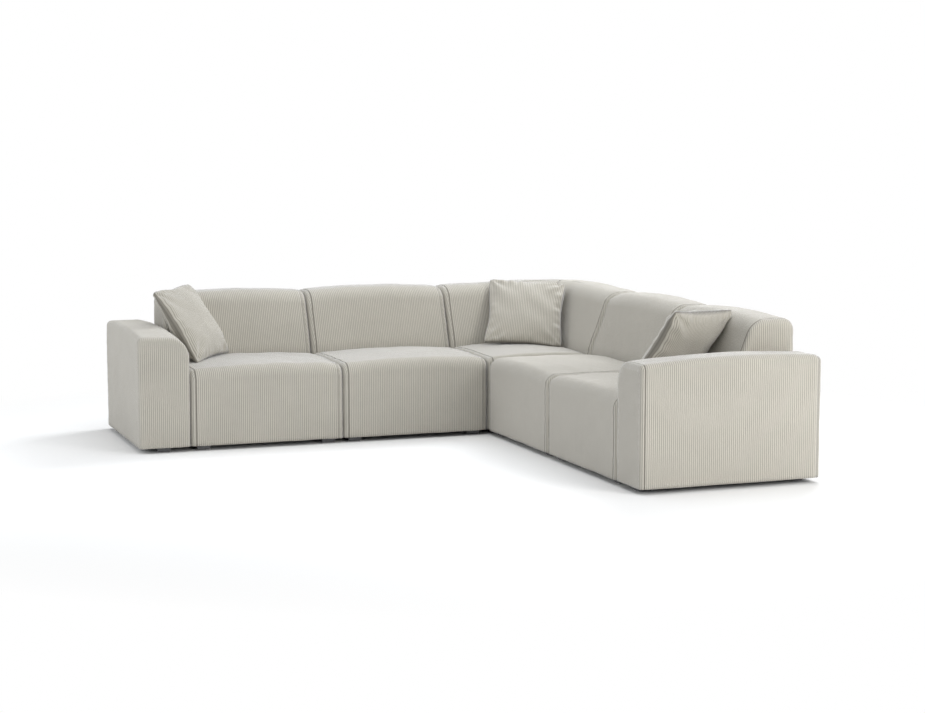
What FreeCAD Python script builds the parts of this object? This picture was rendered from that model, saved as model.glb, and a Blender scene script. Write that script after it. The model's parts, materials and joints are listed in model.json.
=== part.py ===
"""Corner sofa of seven joined units with three loose scatter cushions, in millimetres, +Z up.

The origin is on the floor at the centre of the sofa's footprint. The left run goes along +X with its
back to +Y, and the right run goes along -Y with its back to +X. Each unit is modelled in a frame of its
own: u to the sitter's left-hand neighbour's side from 0, v from the front edge to the back, w up.
"""

import FreeCAD, Part
import math
import os

from FreeCAD import Placement, Rotation, Vector

# Overall sizes
UNIT_DEPTH = 950.0
SEAT_WIDTH = 830.0
ARM_WIDTH = 270.0
GROUND_GAP = 25.0
SEATS_PER_RUN = 2

# Seats: height at the unit joints, crown across the unit and crown from front to back
SEAT_DEPTH = 600.0
SEAT_EDGE_HEIGHT = 423.0
SEAT_CROWN_ACROSS = 17.0
SEAT_CROWN_ALONG = 8.0
SEAT_CROWN_REACH = 216.0
SEAT_FRONT_ROUND = 62.0
SEAT_REAR_ROUND = 30.0

# Backs: foot behind the seat, leaning front, rolled top
FOOT_GAP = 4.0
BACK_EDGE_HEIGHT = 756.0
BACK_CROWN = 17.0
BACK_BEND_HEIGHT = 432.0
BACK_LEAN_RUN = 122.0
BACK_SWELL = 12.0
BACK_RIDGE_RISE = 6.0
BACK_RIDGE_INSET = 105.0
BACK_RIDGE_REACH = 45.0
BACK_FRONT_ROUND = 70.0
BACK_REAR_ROUND = 50.0
BACK_BEND_REACH = 60.0

# Arms: top height at the front and the rear, the crown between them, and the soft inner corner
ARM_FRONT_HEIGHT = 602.0
ARM_REAR_HEIGHT = 612.0
ARM_CROWN = 20.0
ARM_OUTER_ROUND = 30.0
ARM_INNER_FALL = 68.0
ARM_INNER_RUN = 62.0
ARM_INNER_REACH = 42.0
ARM_TOP_FALL = 2.0
ARM_FRONT_ROUND = 18.0
ARM_REAR_ROUND = 36.0

# Upholstery
UNIT_GAP = 3.0
COVER_WALL = 4.0
LAYER_GAP = 0.4
SIDE_ROUND = 26.0
WADDING = 10.0
ARM_TOP_FOAM = 45.0

# How finely padded blocks are stepped: (rounded ends, rounded corners) of a skin and of what is under it
SKIN_STEPS = ((0.0, 30.0, 60.0, 90.0), 4)
UNDER_STEPS = ((0.0, 45.0, 90.0), 2)
CROWN_SHARES = (0.25, 0.5, 0.75)
SLIGHT_TURN = 0.5
SLIGHT_STEPS = 2
CORNER_ANGLES = (0.0, 15.0, 30.0, 45.0, 60.0, 75.0, 90.0)
LEAST_RADIUS = 1.0
SAME_POINT = 1e-6
SAME_PLANE = 1e-3

# Timber base frames
RAIL_WALL = 22.0
DECK_HEIGHT = 250.0
CLOTH_WALL = 1.5
CORNER_BLOCK = 70.0
STRETCHER_HEIGHT = 90.0

# Timber back frames
PLY_WALL = 18.0
BACK_PAD = 80.0
BACK_TOP_FOAM = 48.0
TOP_RAIL_HEIGHT = 80.0
LUMBAR_RAIL_HEIGHT = 70.0

# Elastic webbing
STRAP_WALL = 2.0
SEAT_STRAP_WIDTH = 60.0
SEAT_STRAPS_ALONG = 6
SEAT_STRAPS_ACROSS = 5
BACK_STRAP_WIDTH = 50.0
BACK_STRAPS = 4

# Feet
FOOT_SIDE = 70.0
FOOT_CHAMFER = 6.0
FOOT_INSET = 75.0

# Joining hooks and sockets under the frames
HOOK_PLATE = 3.0
HOOK_WIDTH = 40.0
HOOK_BASE = 60.0
HOOK_REACH = 34.0
HOOK_DROP = 6.0
SOCKET_WALL = 3.0
SOCKET_LENGTH = 50.0
HOOK_PLAY = 0.3
HOOK_FRONT = 170.0
HOOK_REAR = 760.0

# Scatter cushions: half size between the corners, thickness, and where each one lies
CUSHION_HALF = 220.0
CUSHION_SWELL = 72.0
CUSHION_DIP = 24.0
CUSHION_WALL = 2.5
CORNER_SHRINK = 2.5

# A cushion's swell in levels from its seam outward: share of its size, of its sides' dip, of its height
CUSHION_LEVELS = (
    (1.0, 1.0, 0.0),
    (0.9, 0.7, 0.32),
    (0.75, 0.4, 0.63),
    (0.55, 0.2, 0.86),
    (0.28, 0.1, 1.0),
)
CUSHION_POSES = {
    "left_cushion": dict(centre=(-1048.0, 990.3, 624.65), heading=-37.0, lean=33.0, roll=2.0),
    "corner_cushion": dict(centre=(921.0, 1011.6, 613.1), heading=-111.0, lean=40.0, roll=-4.5),
    "right_cushion": dict(centre=(960.6, -908.0, 619.4), heading=113.0, lean=36.0, roll=3.0),
}

# Worked out from the sizes above
RUN_LENGTH = ARM_WIDTH + SEATS_PER_RUN * SEAT_WIDTH + UNIT_DEPTH
HALF = RUN_LENGTH / 2.0
INNER = HALF - UNIT_DEPTH
BACK_FOOT = SEAT_DEPTH + FOOT_GAP
FOAM_BASE = DECK_HEIGHT + 2.0 * STRAP_WALL + LAYER_GAP
FRAME_INSET = COVER_WALL + WADDING
RAIL_BASE = GROUND_GAP + CLOTH_WALL
LEAN_SLOPE = BACK_LEAN_RUN / (BACK_EDGE_HEIGHT - BACK_BEND_HEIGHT)
BELOW = -5.0


# Outlines

def unit(vector):
    """The vector at a length of one, as two numbers."""
    length = math.hypot(*vector)
    return vector[0] / length, vector[1] / length


def inset(corners, distance):
    """The outline's corners moved inward by a distance; each is (a, b, reach), its rounding's length."""
    if distance == 0.0:
        return list(corners)
    count = len(corners)
    area = sum(
        corners[i][0] * corners[(i + 1) % count][1] - corners[(i + 1) % count][0] * corners[i][1]
        for i in range(count)
    )
    side = 1.0 if area > 0 else -1.0
    moved = []
    for i, (a, b, reach) in enumerate(corners):
        before = corners[i - 1]
        after = corners[(i + 1) % count]
        into = unit((a - before[0], b - before[1]))
        out = unit((after[0] - a, after[1] - b))
        slope = math.tan(0.5 * math.acos(into[0] * out[0] + into[1] * out[1]))
        normal_in = (-side * into[1], side * into[0])
        normal_out = (-side * out[1], side * out[0])
        both = 1.0 + normal_in[0] * normal_out[0] + normal_in[1] * normal_out[1]
        shift_a = distance * (normal_in[0] + normal_out[0]) / both
        shift_b = distance * (normal_in[1] + normal_out[1]) / both
        if reach > 0.0:
            reach = max(reach / slope - distance, LEAST_RADIUS) * slope
        moved.append((a + shift_a, b + shift_b, reach))
    return moved


def turn_points(corners, i, steps):
    """Points along the rounding of one corner of an outline: the corner itself where it has no reach."""
    a, b, reach = corners[i]
    if reach == 0.0:
        return [(a, b)]
    before = corners[i - 1]
    after = corners[(i + 1) % len(corners)]
    back = unit((before[0] - a, before[1] - b))
    ahead = unit((after[0] - a, after[1] - b))
    inside = math.acos(back[0] * ahead[0] + back[1] * ahead[1])
    turn = math.pi - inside
    count = steps if turn > SLIGHT_TURN else SLIGHT_STEPS
    middle = unit((back[0] + ahead[0], back[1] + ahead[1]))
    away = reach / math.cos(0.5 * inside)
    centre = (a + middle[0] * away, b + middle[1] * away)
    first = (a + back[0] * reach - centre[0], b + back[1] * reach - centre[1])
    last = (a + ahead[0] * reach - centre[0], b + ahead[1] * reach - centre[1])
    points = []
    for k in range(count + 1):
        near = math.sin((1.0 - k / count) * turn) / math.sin(turn)
        far = math.sin(k / count * turn) / math.sin(turn)
        points.append((centre[0] + near * first[0] + far * last[0], centre[1] + near * first[1] + far * last[1]))
    return points


def ring(corners, place, steps=1):
    """The outline's points with its corners rounded in steps; place turns (a, b) into a point."""
    points = []
    for i in range(len(corners)):
        points += [place(a, b) for a, b in turn_points(corners, i, steps)]
    return points


def flat(points):
    """A face through the points in order."""
    return Part.Face(Part.makePolygon(points + points[:1]))


def distinct(points):
    """The points without those that repeat the one before them."""
    return [p for i, p in enumerate(points) if p.distanceToPoint(points[i - 1]) > SAME_POINT]


def skinned(rings):
    """A solid through rings of as many points each, closed by its first and its last ring."""
    sides = [rings[0][::-1], rings[-1]]
    for near, far in zip(rings[:-1], rings[1:]):
        for i in range(len(near)):
            a, b, c, d = near[i - 1], near[i], far[i], far[i - 1]
            out_of_plane = (b - a).cross(d - a).dot(c - a)
            sides += [[a, b, c, d]] if abs(out_of_plane) < SAME_PLANE else [[a, b, c], [a, c, d]]
    sides = [points for points in map(distinct, sides) if len(points) > 2]
    volume = sum(
        points[0].dot(points[k].cross(points[k + 1])) for points in sides for k in range(1, len(points) - 1)
    )
    if volume < 0.0:
        sides = [points[::-1] for points in sides]
    shell = Part.makeShell([flat(points) for points in sides])
    shell.sewShape()
    return Part.Solid(shell).removeSplitter()


def prism(corners, place, along):
    """The outline pushed along a vector."""
    return flat(ring(corners, place)).extrude(along)


def box(u0, u1, v0, v1, w0, w1):
    """A block between two corners."""
    return Part.makeBox(u1 - u0, v1 - v0, w1 - w0, Vector(u0, v0, w0))


def across(u):
    """Places an outline of (v, w) at u."""
    return lambda v, w: Vector(u, v, w)


def along(v):
    """Places an outline of (u, w) at v."""
    return lambda u, w: Vector(u, v, w)


def end_stations(start, radius, inward, angles):
    """Stations of a rounded end: (place, draw-in), from the flat end to where the rounding stops."""
    spots = []
    for angle in angles:
        turned = math.radians(angle)
        place = start + inward * radius * (1.0 - math.cos(turned))
        spots.append((place, radius * (1.0 - math.sin(turned))))
    return spots


def stations(start, end, start_round, end_round, angles):
    """Stations along a padded block: rounded ends, and the shares of its length where its crown is set."""
    middle = [(start + share * (end - start), 0.0) for share in CROWN_SHARES]
    first = end_stations(start, start_round, 1.0, angles)
    last = end_stations(end, end_round, -1.0, angles)
    return first + middle + last[::-1]


def crown(place, start, end):
    """Share of the full crown at a place between a block's ends."""
    half = (end - start) / 2.0
    return 1.0 - ((place - start - half) / half) ** 2


def lofted_rings(profile, spots, layer, base, put, steps):
    """The rings of a block at its stations, drawn in by a layer and by each station's rounding."""
    rings = []
    for spot, draw_in in spots:
        corners = inset(profile(spot), layer + draw_in)
        corners[0] = (corners[0][0], base, 0.0)
        corners[-1] = (corners[-1][0], base, 0.0)
        rings.append(ring(corners, put(spot), steps))
    return rings


# Seat blocks

def seat_corners(share, front_round):
    """Front-to-back outline of a seat block, with a share of its full crown."""
    top = SEAT_EDGE_HEIGHT + SEAT_CROWN_ACROSS * share
    return [
        (0.0, GROUND_GAP, 0.0),
        (0.0, top, front_round),
        (SEAT_DEPTH / 2.0, top + SEAT_CROWN_ALONG, SEAT_CROWN_REACH),
        (SEAT_DEPTH, top, SEAT_REAR_ROUND),
        (SEAT_DEPTH, GROUND_GAP, 0.0),
    ]


def seat_block(wide, front_round, layer, base, steps):
    """A seat's crowned block, its skin a layer's depth inside the cover's face."""
    start = UNIT_GAP / 2.0 + layer
    end = wide - UNIT_GAP / 2.0 - layer
    spots = stations(start, end, SIDE_ROUND - layer, SIDE_ROUND - layer, steps[0])

    def profile(u):
        return seat_corners(crown(u, start, end), front_round)

    return skinned(lofted_rings(profile, spots, layer, base, across, steps[1]))


def seat_way(wide):
    """The opening behind a seat under its deck, where the frame runs through."""
    wall = UNIT_GAP / 2.0 + COVER_WALL
    return box(wall, wide - wall, SEAT_DEPTH / 2.0, SEAT_DEPTH + FOOT_GAP, BELOW, DECK_HEIGHT + STRAP_WALL)


def seat_cover(wide, front_round, ways):
    """The seat's fabric box: open below, and open where the frame runs through."""
    outer = seat_block(wide, front_round, 0.0, GROUND_GAP, SKIN_STEPS)
    inner = seat_block(wide, front_round, COVER_WALL, BELOW, UNDER_STEPS)
    return outer.cut(inner.fuse(ways))


def corner_seat_cover():
    """The corner seat's fabric box, open behind on both of its sides to the back."""
    way = seat_way(SEAT_DEPTH + UNIT_GAP / 2.0)
    return seat_cover(SEAT_DEPTH + UNIT_GAP / 2.0, SIDE_ROUND, [way, mirrored(way)])


def seat_foam(wide, front_round):
    """The foam block on the deck."""
    return seat_block(wide, front_round, COVER_WALL + LAYER_GAP, FOAM_BASE, UNDER_STEPS)


# Back blocks

def back_corners(share, swell):
    """Front-to-back outline of a back: upright foot, leaning front, rolled top and upright rear."""
    top = BACK_EDGE_HEIGHT + BACK_CROWN * share
    lean_top = BACK_FOOT + LEAN_SLOPE * (top - BACK_BEND_HEIGHT) - swell
    return [
        (BACK_FOOT, GROUND_GAP, 0.0),
        (BACK_FOOT, BACK_BEND_HEIGHT, BACK_BEND_REACH),
        (lean_top, top, BACK_FRONT_ROUND),
        (UNIT_DEPTH - BACK_RIDGE_INSET, top + BACK_RIDGE_RISE, BACK_RIDGE_REACH),
        (UNIT_DEPTH, top, BACK_REAR_ROUND),
        (UNIT_DEPTH, GROUND_GAP, 0.0),
    ]


def back_block(wide, layer, base, steps):
    """A straight unit's back, its skin a layer's depth inside the cover's face."""
    start = UNIT_GAP / 2.0 + layer
    end = wide - UNIT_GAP / 2.0 - layer
    spots = stations(start, end, SIDE_ROUND - layer, SIDE_ROUND - layer, steps[0])

    def profile(u):
        share = crown(u, start, end)
        return back_corners(share, BACK_SWELL * share)

    return skinned(lofted_rings(profile, spots, layer, base, across, steps[1]))


def mirrored(shape):
    """The shape turned over the unit's diagonal, so that its left leg becomes its right one."""
    return shape.mirror(Vector(0.0, 0.0, 0.0), Vector(1.0, -1.0, 0.0).normalize())


def swept_corner(leg_rings):
    """A block along both legs of the corner unit, turned about the foot of its back between them."""
    last = leg_rings[-1]
    turned = []
    for angle in CORNER_ANGLES[1:-1]:
        sin = math.sin(math.radians(angle))
        cos = math.cos(math.radians(angle))
        turned.append(
            [Vector(BACK_FOOT + (p.y - BACK_FOOT) * sin, BACK_FOOT + (p.y - BACK_FOOT) * cos, p.z) for p in last]
        )
    other_leg = [[Vector(p.y, p.x, p.z) for p in points] for points in leg_rings[::-1]]
    return skinned(leg_rings + turned + other_leg)


def corner_back_block(layer, base, steps):
    """The corner unit's back in one piece round the corner, its crown full from the leg's end on."""
    start = UNIT_GAP / 2.0 + layer
    spots = end_stations(start, SIDE_ROUND - layer, 1.0, steps[0])
    spots += [(start + share * (BACK_FOOT - start), 0.0) for share in (*CROWN_SHARES, 1.0)]

    def profile(u):
        return back_corners(crown(u, start, 2.0 * BACK_FOOT - start), 0.0)

    return swept_corner(lofted_rings(profile, spots, layer, base, across, steps[1]))


def cavity_corners():
    """Front-to-back outline of the room for a back frame inside the foam and the cover."""
    top = BACK_EDGE_HEIGHT - BACK_TOP_FOAM
    front = BACK_FOOT + BACK_PAD
    return [
        (front, BELOW, 0.0),
        (front, BACK_BEND_HEIGHT, 0.0),
        (front + LEAN_SLOPE * (top - BACK_BEND_HEIGHT), top, 0.0),
        (UNIT_DEPTH - FRAME_INSET + LAYER_GAP, top, 0.0),
        (UNIT_DEPTH - FRAME_INSET + LAYER_GAP, BELOW, 0.0),
    ]


def back_cover(outer, inner, ways):
    """A back's fabric: open below, and open in front under the deck."""
    for way in ways:
        inner = inner.fuse(way)
    return outer.cut(inner)


def straight_back_cover(wide):
    """The fabric of a straight unit's back."""
    wall = UNIT_GAP / 2.0 + COVER_WALL
    top = DECK_HEIGHT + STRAP_WALL
    way = box(wall, wide - wall, BACK_FOOT - FOOT_GAP, BACK_FOOT + BACK_PAD, BELOW, top)
    outer = back_block(wide, 0.0, GROUND_GAP, SKIN_STEPS)
    return back_cover(outer, back_block(wide, COVER_WALL, BELOW, UNDER_STEPS), [way])


def straight_back_foam(wide):
    """The front pad and top roll of a straight unit's back."""
    block = back_block(wide, COVER_WALL + LAYER_GAP, FOAM_BASE, UNDER_STEPS)
    return block.cut(prism(cavity_corners(), across(0.0), Vector(wide, 0.0, 0.0)))


def corner_back_cover():
    """The fabric of the corner unit's back."""
    wall = UNIT_GAP / 2.0 + COVER_WALL
    near = BACK_FOOT - FOOT_GAP
    far = BACK_FOOT + BACK_PAD
    way = box(wall, far, near, far, BELOW, DECK_HEIGHT + STRAP_WALL)
    ways = [way, mirrored(way)]
    outer = corner_back_block(0.0, GROUND_GAP, SKIN_STEPS)
    return back_cover(outer, corner_back_block(COVER_WALL, BELOW, UNDER_STEPS), ways)


def corner_back_foam():
    """The front pad and top roll of the corner unit's back."""
    block = corner_back_block(COVER_WALL + LAYER_GAP, FOAM_BASE, UNDER_STEPS)
    room = swept_corner([ring(cavity_corners(), across(u)) for u in (0.0, BACK_FOOT)])
    return block.cut(room)


# Base frames, decks and base cloths

def corner_block(u, v, turn):
    """A triangular glue block in a frame's corner, its right angle at (u, v)."""
    legs = [(0.0, 0.0), (CORNER_BLOCK, 0.0), (0.0, CORNER_BLOCK)]
    angle = math.radians(turn)
    spots = [
        (u + a * math.cos(angle) - b * math.sin(angle), v + a * math.sin(angle) + b * math.cos(angle), 0.0)
        for a, b in legs
    ]
    height = DECK_HEIGHT - RAIL_BASE - 30.0
    return prism(spots, lambda a, b: Vector(a, b, RAIL_BASE), Vector(0.0, 0.0, height))


def straight_base_frame(wide):
    """Side rails over the unit's whole depth, with front, deck and rear rails, a stretcher and glue blocks."""
    u0 = UNIT_GAP / 2.0 + FRAME_INSET
    u1 = wide - u0
    v0 = FRAME_INSET
    v1 = UNIT_DEPTH - FRAME_INSET
    deck = SEAT_DEPTH - FRAME_INSET
    inner0 = u0 + RAIL_WALL
    inner1 = u1 - RAIL_WALL
    middle = (inner0 + inner1) / 2.0
    return [
        box(u0, inner0, v0, v1, RAIL_BASE, DECK_HEIGHT + STRAP_WALL),
        box(inner1, u1, v0, v1, RAIL_BASE, DECK_HEIGHT + STRAP_WALL),
        box(inner0, inner1, v0, v0 + RAIL_WALL, RAIL_BASE, DECK_HEIGHT),
        box(inner0, inner1, deck - RAIL_WALL, deck, DECK_HEIGHT - STRETCHER_HEIGHT, DECK_HEIGHT),
        box(inner0, inner1, v1 - RAIL_WALL, v1, RAIL_BASE, DECK_HEIGHT),
        box(middle - RAIL_WALL, middle, v0 + RAIL_WALL, v1 - RAIL_WALL, RAIL_BASE, RAIL_BASE + STRETCHER_HEIGHT),
        corner_block(inner0, v0 + RAIL_WALL, 0.0),
        corner_block(inner1, v0 + RAIL_WALL, 90.0),
        corner_block(inner1, v1 - RAIL_WALL, 180.0),
        corner_block(inner0, v1 - RAIL_WALL, 270.0),
    ]


def seat_webbing(wide):
    """Straps from the front rail to the deck rail, and straps over them from side rail to side rail."""
    u0 = UNIT_GAP / 2.0 + FRAME_INSET
    u1 = wide - u0
    v0 = FRAME_INSET
    v1 = SEAT_DEPTH - FRAME_INSET
    straps = []
    inner = u0 + RAIL_WALL
    pitch = (wide - 2.0 * inner) / SEAT_STRAPS_ALONG
    for i in range(SEAT_STRAPS_ALONG):
        u = inner + (i + 0.5) * pitch - SEAT_STRAP_WIDTH / 2.0
        straps.append(box(u, u + SEAT_STRAP_WIDTH, v0, v1, DECK_HEIGHT, DECK_HEIGHT + STRAP_WALL))
    pitch = (v1 - v0 - 2.0 * RAIL_WALL) / SEAT_STRAPS_ACROSS
    for i in range(SEAT_STRAPS_ACROSS):
        v = v0 + RAIL_WALL + (i + 0.5) * pitch - SEAT_STRAP_WIDTH / 2.0
        straps.append(
            box(u0, u1, v, v + SEAT_STRAP_WIDTH, DECK_HEIGHT + STRAP_WALL, DECK_HEIGHT + 2.0 * STRAP_WALL)
        )
    return straps


def base_cloth(wide):
    """The cloth stapled under a straight unit's frame."""
    u0 = UNIT_GAP / 2.0 + FRAME_INSET
    return box(u0, wide - u0, FRAME_INSET, UNIT_DEPTH - FRAME_INSET, GROUND_GAP, RAIL_BASE)


def corner_ring(depth):
    """Points (u, v) round the outer corner at a depth of the straight part, with the turn in short lengths."""
    reach = depth - BACK_FOOT
    angles = [math.radians(angle) for angle in CORNER_ANGLES[::2]]
    return [(BACK_FOOT + reach * math.sin(a), BACK_FOOT + reach * math.cos(a)) for a in angles]


def ring_board(outer, inner, w0, w1):
    """A board on edge between two lines of points (u, v)."""
    corners = [(a, b, 0.0) for a, b in outer + inner[::-1]]
    return prism(corners, lambda a, b: Vector(a, b, w0), Vector(0.0, 0.0, w1 - w0))


def corner_base_frame():
    """The corner unit's base: two rails to the seats, two deck rails and the ring round the outer corner."""
    near = UNIT_GAP / 2.0 + FRAME_INSET
    far = UNIT_DEPTH - FRAME_INSET
    deck = SEAT_DEPTH - FRAME_INSET
    low = DECK_HEIGHT - STRETCHER_HEIGHT
    rails = [
        box(near, near + RAIL_WALL, near, far - RAIL_WALL, RAIL_BASE, DECK_HEIGHT + STRAP_WALL),
        box(near + RAIL_WALL, far - RAIL_WALL, near, near + RAIL_WALL, RAIL_BASE, DECK_HEIGHT),
        box(near + RAIL_WALL, deck, deck - RAIL_WALL, deck, low, DECK_HEIGHT),
        box(deck - RAIL_WALL, deck, near + RAIL_WALL, deck - RAIL_WALL, low, DECK_HEIGHT + STRAP_WALL),
    ]
    lines = [[(near, depth)] + corner_ring(depth) + [(depth, near)] for depth in (far, far - RAIL_WALL)]
    return rails + [ring_board(*lines, RAIL_BASE, DECK_HEIGHT)]


def corner_webbing():
    """The corner seat's straps both ways."""
    near = UNIT_GAP / 2.0 + FRAME_INSET
    deck = SEAT_DEPTH - FRAME_INSET
    pitch = (deck - near - 2.0 * RAIL_WALL) / SEAT_STRAPS_ACROSS
    straps = []
    for i in range(SEAT_STRAPS_ACROSS):
        place = near + RAIL_WALL + (i + 0.5) * pitch - SEAT_STRAP_WIDTH / 2.0
        edge = place + SEAT_STRAP_WIDTH
        top = DECK_HEIGHT + STRAP_WALL
        straps.append(box(place, edge, near, deck, DECK_HEIGHT, top))
        straps.append(box(near, deck, place, edge, top, top + STRAP_WALL))
    return straps


def corner_cloth():
    """The cloth stapled under the corner unit's frame, cut to the round of its ring."""
    near = UNIT_GAP / 2.0 + FRAME_INSET
    far = UNIT_DEPTH - FRAME_INSET
    edge = [(near, far)] + corner_ring(far) + [(far, near)]
    corners = [(near, near, 0.0)] + [(a, b, 0.0) for a, b in edge]
    return prism(corners, lambda a, b: Vector(a, b, GROUND_GAP), Vector(0.0, 0.0, CLOTH_WALL))


# Back frames and their webbing

def frame_corners(clear):
    """Front-to-back outline of a back frame's end, clear of the foam."""
    foam = cavity_corners()
    base = DECK_HEIGHT + STRAP_WALL
    front = foam[0][0] + clear + STRAP_WALL
    top = foam[2][1] - clear
    return [
        (front, base, 0.0),
        (front, BACK_BEND_HEIGHT, 0.0),
        (front + LEAN_SLOPE * (top - BACK_BEND_HEIGHT), top, 0.0),
        (UNIT_DEPTH - FRAME_INSET, top, 0.0),
        (UNIT_DEPTH - FRAME_INSET, base, 0.0),
    ]


def frame_front(w):
    """Where the face of a back frame's end is at a height, as v."""
    corners = frame_corners(LAYER_GAP)
    return corners[0][0] + LEAN_SLOPE * max(w - BACK_BEND_HEIGHT, 0.0)


def straight_back_frame(wide):
    """Two plywood ends, a middle rib, a top rail, a lumbar rail and a rear rail."""
    u0 = UNIT_GAP / 2.0 + FRAME_INSET
    u1 = wide - u0
    corners = frame_corners(LAYER_GAP)
    top = corners[2][1]
    rear = corners[3][0]
    push = Vector(PLY_WALL, 0.0, 0.0)
    middle = wide / 2.0
    pieces = [prism(corners, across(u0), push), prism(corners, across(u1 - PLY_WALL), push)]
    for start, end in ((u0 + PLY_WALL, u1 - PLY_WALL),):
        front = frame_front(top - TOP_RAIL_HEIGHT) + 12.0
        pieces.append(box(start, end, rear - PLY_WALL, rear, top - TOP_RAIL_HEIGHT, top))
        pieces.append(box(start, end, front + PLY_WALL, rear - PLY_WALL, top - PLY_WALL, top))
        low = corners[0][1]
        pieces.append(box(start, end, rear - PLY_WALL, rear, low, low + LUMBAR_RAIL_HEIGHT))
        foot = frame_front(low) + 12.0
        pieces.append(box(start, end, foot, foot + PLY_WALL, low, low + LUMBAR_RAIL_HEIGHT))
    post = box(
        middle - PLY_WALL / 2.0,
        middle + PLY_WALL / 2.0,
        rear - PLY_WALL,
        rear,
        corners[0][1] + LUMBAR_RAIL_HEIGHT,
        top - TOP_RAIL_HEIGHT,
    )
    pieces.append(post)
    return pieces


def strap_heights():
    """The lower edge of each back strap."""
    low = DECK_HEIGHT + STRAP_WALL + LUMBAR_RAIL_HEIGHT + 20.0
    high = frame_corners(LAYER_GAP)[2][1] - 20.0 - BACK_STRAP_WIDTH
    return [low + (high - low) * i / (BACK_STRAPS - 1) for i in range(BACK_STRAPS)]


def back_strap(w, u0, u1):
    """A strap that lies on the leaning front edges of the frame's ends."""
    low = frame_front(w)
    high = frame_front(w + BACK_STRAP_WIDTH)
    if w < BACK_BEND_HEIGHT < w + BACK_STRAP_WIDTH:
        low = high = frame_front(w)
    corners = [
        (low, w, 0.0),
        (high, w + BACK_STRAP_WIDTH, 0.0),
        (high - STRAP_WALL, w + BACK_STRAP_WIDTH, 0.0),
        (low - STRAP_WALL, w, 0.0),
    ]
    return prism(corners, across(u0), Vector(u1 - u0, 0.0, 0.0))


def straight_back_webbing(wide):
    """The straps of a straight unit's back."""
    u0 = UNIT_GAP / 2.0 + FRAME_INSET
    return [back_strap(w, u0, wide - u0) for w in strap_heights()]


def corner_back_frame():
    """Plywood ribs across both legs and round the turn, with rails between them."""
    corners = frame_corners(LAYER_GAP)
    top = corners[2][1]
    low = corners[0][1]
    near = UNIT_GAP / 2.0 + FRAME_INSET
    end_rib = prism(corners, across(near), Vector(PLY_WALL, 0.0, 0.0))
    turn_rib = prism(corners, across(BACK_FOOT - PLY_WALL), Vector(PLY_WALL, 0.0, 0.0))
    pieces = [end_rib, turn_rib, mirrored(end_rib), mirrored(turn_rib)]
    rear = corners[3][0]
    front = frame_front(top - TOP_RAIL_HEIGHT) + 12.0
    foot = frame_front(low) + 12.0
    start = near + PLY_WALL
    stop = BACK_FOOT - PLY_WALL
    rails = [
        box(start, stop, rear - PLY_WALL, rear, top - TOP_RAIL_HEIGHT, top),
        box(start, stop, front + PLY_WALL, rear - PLY_WALL, top - PLY_WALL, top),
        box(start, stop, rear - PLY_WALL, rear, low, low + LUMBAR_RAIL_HEIGHT),
        box(start, stop, foot, foot + PLY_WALL, low, low + LUMBAR_RAIL_HEIGHT),
    ]
    pieces += rails + [mirrored(rail) for rail in rails]
    lines = [corner_ring(depth) for depth in (rear, rear - PLY_WALL)]
    pieces.append(ring_board(*lines, low, low + LUMBAR_RAIL_HEIGHT))
    pieces.append(ring_board(*lines, top - TOP_RAIL_HEIGHT, top))
    return pieces


def corner_back_webbing():
    """The straps of both legs of the corner unit's back."""
    near = UNIT_GAP / 2.0 + FRAME_INSET
    straps = [back_strap(w, near, BACK_FOOT) for w in strap_heights()]
    return straps + [mirrored(strap) for strap in straps]


# Arms

def arm_corners(top):
    """Outline of an arm from the front: outer side at 0, soft corner at the seat's side."""
    wide = ARM_WIDTH - UNIT_GAP / 2.0
    return [
        (0.0, GROUND_GAP, 0.0),
        (0.0, top, ARM_OUTER_ROUND),
        (wide - ARM_INNER_RUN, top - ARM_TOP_FALL, ARM_INNER_REACH),
        (wide, top - ARM_INNER_FALL, ARM_INNER_REACH),
        (wide, GROUND_GAP, 0.0),
    ]


def arm_profile(v):
    """An arm's outline at v: its top rises to the middle of its length."""
    ends = ARM_FRONT_HEIGHT + v / UNIT_DEPTH * (ARM_REAR_HEIGHT - ARM_FRONT_HEIGHT)
    return arm_corners(ends + ARM_CROWN * crown(v, 0.0, UNIT_DEPTH))


def arm_block(layer, base, steps):
    """An arm's block with its top raised along the middle of its length."""
    ends = (ARM_FRONT_ROUND - layer, ARM_REAR_ROUND - layer)
    spots = stations(layer, UNIT_DEPTH - layer, *ends, steps[0])
    return skinned(lofted_rings(arm_profile, spots, layer, base, along, steps[1]))


def arm_frame_box():
    """The outer sizes of an arm's frame: u0, u1, v0, v1 and top."""
    wide = ARM_WIDTH - UNIT_GAP / 2.0
    rear = UNIT_DEPTH - FRAME_INSET
    return FRAME_INSET, wide - FRAME_INSET, FRAME_INSET, rear, ARM_FRONT_HEIGHT - ARM_TOP_FOAM - ARM_INNER_FALL


def arm_cover():
    """An arm's fabric, open below."""
    return arm_block(0.0, GROUND_GAP, SKIN_STEPS).cut(arm_block(COVER_WALL, BELOW, UNDER_STEPS))


def arm_foam():
    """The foam on top of an arm's frame."""
    top = arm_frame_box()[4]
    return arm_block(COVER_WALL + LAYER_GAP, top + LAYER_GAP, UNDER_STEPS)


def arm_frame():
    """Two side boards, end boards, a top board, a base rail and two inner ribs."""
    u0, u1, v0, v1, top = arm_frame_box()
    wall = PLY_WALL
    pieces = [
        box(u0, u0 + wall, v0, v1, RAIL_BASE, top - wall),
        box(u1 - wall, u1, v0, v1, RAIL_BASE, top - wall),
        box(u0, u1, v0, v1, top - wall, top),
        box(u0 + wall, u1 - wall, v0, v0 + wall, RAIL_BASE, top - wall),
        box(u0 + wall, u1 - wall, v1 - wall, v1, RAIL_BASE, top - wall),
    ]
    for share in (1.0, 2.0):
        v = v0 + share * (v1 - v0) / 3.0
        pieces.append(box(u0 + wall, u1 - wall, v, v + wall, RAIL_BASE, top - wall))
    return pieces


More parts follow.
